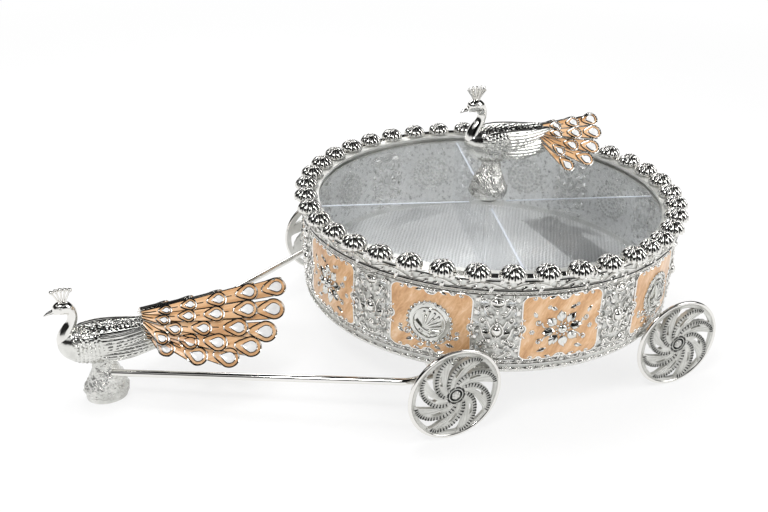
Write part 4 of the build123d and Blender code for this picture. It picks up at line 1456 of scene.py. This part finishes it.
def neck_skin():
    line = through(NECK, 70)
    rings = []
    for k, (x, z, r) in enumerate(line):
        before, after = line[max(k - 1, 0)], line[min(k + 1, len(line) - 1)]
        way = Vector((after[0] - before[0], 0, after[1] - before[1])).normalized()
        side = Vector((0, 1, 0))
        up = way.cross(side)
        r = max(r, 0.12)
        rings.append([Vector((x, 0, z)) + side * (r * math.cos(2 * math.pi * j / 36))
                      + up * (r * math.sin(2 * math.pi * j / 36)) for j in range(36)])
    return skin(rings)

# %% [markdown]
# A folded wing lies on each flank, with a shorter row of feathers under it. Scales cover the shoulder;
# behind them run long feathers, each with a groove along its edge and fine slanting barbs.

# %% Wings
# x, distance from the middle, z, half thickness and half height, in mm
WING = ((-12.0, 6.5, 20.0, 1.0, 2.0), (-6.0, 8.6, 20.5, 2.2, 6.0), (4.0, 9.8, 19.5, 2.6, 8.0),
        (16.0, 9.2, 19.5, 2.4, 7.4), (27.0, 7.2, 20.5, 2.0, 5.4), (38.0, 4.8, 22.5, 1.4, 2.6),
        (43.0, 3.6, 23.5, 0.5, 0.8))
UNDERWING = ((2.0, 9.3, 12.0, 0.8, 1.6), (9.0, 9.8, 11.6, 1.7, 4.6), (20.0, 9.2, 11.6, 1.8, 5.6),
             (32.0, 7.6, 12.6, 1.6, 5.4), (42.0, 6.2, 13.8, 1.2, 4.4), (46.0, 5.4, 14.4, 0.4, 1.8))


def wing_skin(side, stations):
    rings = []
    for x, out, z, thick, tall in through(stations, 150):
        feathered = min(1.0, max(0.0, (x - 4.0) / 2.0))
        ring = []
        for j in range(84):
            turn = 2 * math.pi * j / 84
            outer, level = math.cos(turn), math.sin(turn) * tall
            scale = scale_height(x + 30, level * 1.15, 2.4, 0.95)
            row = (level + 0.10 * (x - 4)) / 2.3
            groove = abs(math.sin(math.pi * row)) ** 0.5
            barbs = 0.5 + 0.5 * math.sin((x * 1.15 + 1.1 * abs((row % 1.0) - 0.5)) * 2 * math.pi)
            feather = 0.8 * groove + 0.34 * barbs * groove
            lift = 0
            if outer > 0:
                lift = (scale * (1 - feathered) + feather * feathered) * outer ** 0.3
            ring.append((x, side * (out + (thick + lift) * outer), z + level))
        rings.append(ring)
    return skin(rings)

# %% [markdown]
# The head gets an eye in a ring, a line along the beak and a brow. The front bird's crest is five pins with
# round heads; the knob's is a close fan of little leaves.

# %% Head and crest
CREST_FOOT, CREST_LENGTH, CREST_LEAN, PLUMES = (-13.6, 47.6), 8.4, 13.0, 5


def head_details():
    parts = []
    for side in (-1, 1):
        beak = [mm(x, side * y, z) for x, y, z in ((-19.0, 2.0, 42.2), (-21.5, 1.15, 41.5), (-24.0, 0.5, 40.7))]
        brow = [mm(x, side * y, z) for x, y, z in ((-18.2, 2.9, 45.2), (-15.5, 3.7, 46.6), (-12.4, 3.4, 46.4))]
        parts += [
            primitive("uv_sphere", segments=16, ring_count=10, radius=0.85 * MM,
                      location=mm(-15.2, side * 3.9, 44.9)),
            primitive("torus", major_radius=1.25 * MM, minor_radius=0.3 * MM, major_segments=24,
                      minor_segments=8, location=mm(-15.2, side * 3.75, 44.9),
                      rotation=(math.pi / 2, 0, side * 0.15)),
            wire(beak, 0.22 * MM), wire(brow, 0.35 * MM, tip=0.4)]
    return parts


def plumes(fan):
    parts = []
    for k in range(PLUMES):
        step = k - (PLUMES - 1) / 2
        lean = math.radians(CREST_LEAN * step)
        foot = Vector((CREST_FOOT[0] + step * 0.8, 0, CREST_FOOT[1]))
        along = Vector((math.sin(lean), 0, math.cos(lean)))
        bend, tip = foot + along * CREST_LENGTH * 0.5, foot + along * CREST_LENGTH
        if fan:
            parts.append(wire([foot * MM, bend * MM, tip * MM], 0.62 * MM, tip=1.5))
            parts.append(primitive("uv_sphere", segments=12, ring_count=8, radius=1.15 * MM,
                                   location=tip * MM, rotation=(0, lean, 0), scale=(0.8, 0.7, 1.3)))
            for side in (-1, 1):
                parts.append(wire([foot * MM, (bend + Vector((0, side * 0.9, 0))) * MM,
                                   (tip + Vector((0.3 * step, side * 1.5, -0.6))) * MM], 0.4 * MM, tip=1.3))
        else:
            parts.append(wire([foot * MM, bend * MM, tip * MM], 0.6 * MM))
            parts.append(primitive("uv_sphere", segments=16, ring_count=10, radius=1.45 * MM, location=tip * MM))
    return parts

# %% [markdown]
# Each bird is finished in three pieces, because its neck and crest are polished bright while its body and
# wings are chased.

# %% The two peacocks
def bird(name, body, shift, fan, stands_for):
    place = Matrix.Translation((box_x + shift[0] * MM, 0, shift[1] * MM))
    polished = join([neck_skin()] + head_details())
    crest = join(plumes(fan))
    wings = [wing_skin(side, stations) for side in (-1, 1) for stations in (WING, UNDERWING)]
    chased = join([body_skin()] + wings)
    for piece in (polished, crest, chased):
        piece.data.transform(place)
    peacock_node, crest_node = stands_for
    finish(chased, f"{name}_bird_body", body, chased_material, "silver_plate", [peacock_node], 50.0)
    finish(polished, f"{name}_bird_neck", body, plate_material, "silver_plate", (), 50.0)
    finish(crest, f"{name}_bird_crest", body, plate_material, "silver_plate", [crest_node], 50.0)


bird("front", "draw_bar", (-271.5, 23.5), False, ("peacock_body", "peacock_crest"))
bird("knob", "lid", (0.0, 120.0), True, ("knob_peacock", "knob_crest"))

# %% [markdown]
# The rock under each bird is a rough casting. Rings of points are pushed in and out by smooth noise, more
# in the middle of the rock than at its foot, so that it stays inside the CAD boulder's outline.

# %% Rocks
def boulder(sections, seed):
    """A craggy rock through ovals of (height, x, half length, half width, turn in degrees)."""
    rings = []
    for z, x, a, b, turn in through(sections, 64):
        ring = []
        for j in range(96):
            t = 2 * math.pi * j / 96
            p = Vector((a * math.cos(t), b * math.sin(t), 0))
            p.rotate(Matrix.Rotation(math.radians(turn), 3, "Z"))
            spot = Vector((p.x, p.y, z)) * 0.16 + Vector((seed, 0, 0))
            crag = lattice.noise(spot) * 1.3 + lattice.noise(spot * 2.6) * 0.8 + abs(lattice.noise(spot * 6)) * 0.9
            near_foot = min(1.0, z / 3.0)
            size = 1.0 + (0.085 * crag - 0.03) * near_foot
            ring.append((x + p.x * size, p.y * size, z))
        rings.append(ring)
    return skin(rings)


def rock_piece(name, body, shift, sections, seed, node):
    stone = boulder(sections, seed)
    stone.data.transform(Matrix.Translation((box_x + shift[0] * MM, 0, shift[1] * MM)))
    finish(stone, name, body, rock_material, "silver_plate", [node], 60.0)


PEDESTAL = ((0, 0, 12.5, 10, 0), (6, 0, 14.0, 11.3, 10), (13, 0.5, 12.3, 10.4, 25), (20, 1, 8.8, 8.2, 15),
            (27, 0, 6.8, 6.2, 0), (31, 0, 6.8, 5.8, 0))
KNOB_ROCK = ((0, 0, 12, 10, 0), (5, 0, 14.2, 11.8, 20), (12, -1, 12.3, 10.3, 35), (18, 0, 8.2, 7.6, 10),
             (24, 1, 6.2, 5.7, 0), (29, 1, 6.2, 5.7, 0))

rock_piece("front_rock", "draw_bar", (-266.0, 0.0), PEDESTAL, 3.0, "pedestal_rock")
rock_piece("knob_boulder", "lid", (0.0, 99.0), KNOB_ROCK, 11.0, "knob_rock")

# %% [markdown]
# The two dividers are sheets of the same clear acrylic. Their top edges catch the light as thin pale lines;
# these are painted: opaque pale bluish strips lie on the edges as a painted highlight. Each line is in two
# lengths, which leave the knob's screw free.

# %% Painted highlights on the dividers' edges
# An opaque pale blue: painted highlight for the light the edges catch.
edge_highlight_material = Material("painted_edge_highlight", Base_Color=(0.66, 0.70, 0.77, 1.0), Roughness=0.35).data
DIVIDER_TURN = math.radians(-16.0)
EDGE_Z, EDGE_MIDDLE = mm(94.3, 65.0)
EDGE_SIZE = mm(104.0, 1.4, 0.4)
for name, turn in (("long_divider_edge", DIVIDER_TURN), ("cross_divider_edge", DIVIDER_TURN + math.pi / 2)):
    strips = []
    for way in (-1, 1):
        strip = primitive("cube", size=1.0)
        strip.matrix_basis = (Matrix.Translation((box_x, 0, EDGE_Z)) @ Matrix.Rotation(turn, 4, "Z")
                              @ Matrix.Translation((way * EDGE_MIDDLE, 0, 0))
                              @ Matrix.Diagonal((*EDGE_SIZE, 1.0)))
        strips.append(strip)
    finish(join(strips), name, "tray", edge_highlight_material, "acrylic")

# %% [markdown]
# The draw rods are bent from round bar: nearly straight from the rock to a bend beside each wheel, where a
# short end runs back to an eye on the axle. In the photograph the bar is stout, so it's drawn a little
# thicker than the CAD rod, on the same line.

# %% Draw rods
ROD_R = 2.3
EYE_AT, EYE_R, EYE_WIRE, EYE_STRETCH = (-80.0, 96.0, 30.4), 3.9, 1.3, 1.4
for side, where in ((-1, "near"), (1, "far")):
    y = side * EYE_AT[1]
    start, corner = Vector((-262.0, side * 7.5, 20.5)), Vector((-100.0, y, 29.9))
    route = [start, Vector((-181.0, side * 51.75, 25.2)), start.lerp(corner, 0.93), corner,
             Vector((-94.0, y, 30.2)), Vector((-84.4, y, 30.4))]
    rod = wire([p * MM for p in route], ROD_R * MM, sides=6)
    eye = primitive("torus", major_radius=EYE_R * MM, minor_radius=EYE_WIRE * MM, major_segments=40,
                    minor_segments=12, location=mm(EYE_AT[0], y, EYE_AT[2]), rotation=(math.pi / 2, 0, 0))
    eye.scale = (1.0, 1.0, EYE_STRETCH)
    bar = join([rod, eye])
    bar.data.transform(Matrix.Translation((box_x, 0, 0)))
    finish(bar, f"draw_rod_{where}_bar", "draw_bar", plate_material, "silver_plate", [f"draw_rod_{where}"], 50.0)

# %% [markdown]
# Every CAD part that still shows takes the finish of its slot in the record. Four have a finish of their
# own: the woven floor, the mottled wall, and the matt castings of the lid's skirt and the base rim.

# %% Finishes for the CAD parts
FINISH = {
    "silver_plate": plate_material, "silver_satin": satin_material, "enamel_peach": peach_material,
    "enamel_white": white_material, "glass": glass_material, "acrylic": acrylic_material,
    "steel": satin_material,
}
OWN_FINISH = {"floor_pan": floor_material, "wall_band": wall_material, "lid_ring": skirt_material,
              "base_rim": skirt_material}
slot_of = {part["node"]: part["material_slot"] for part in frame["record"]["subparts"]}
for name, node in nodes.items():
    node.data.materials.clear()
    node.data.materials.append(OWN_FINISH.get(name, FINISH[slot_of[name]]))
print("CAD parts dressed", len(nodes))
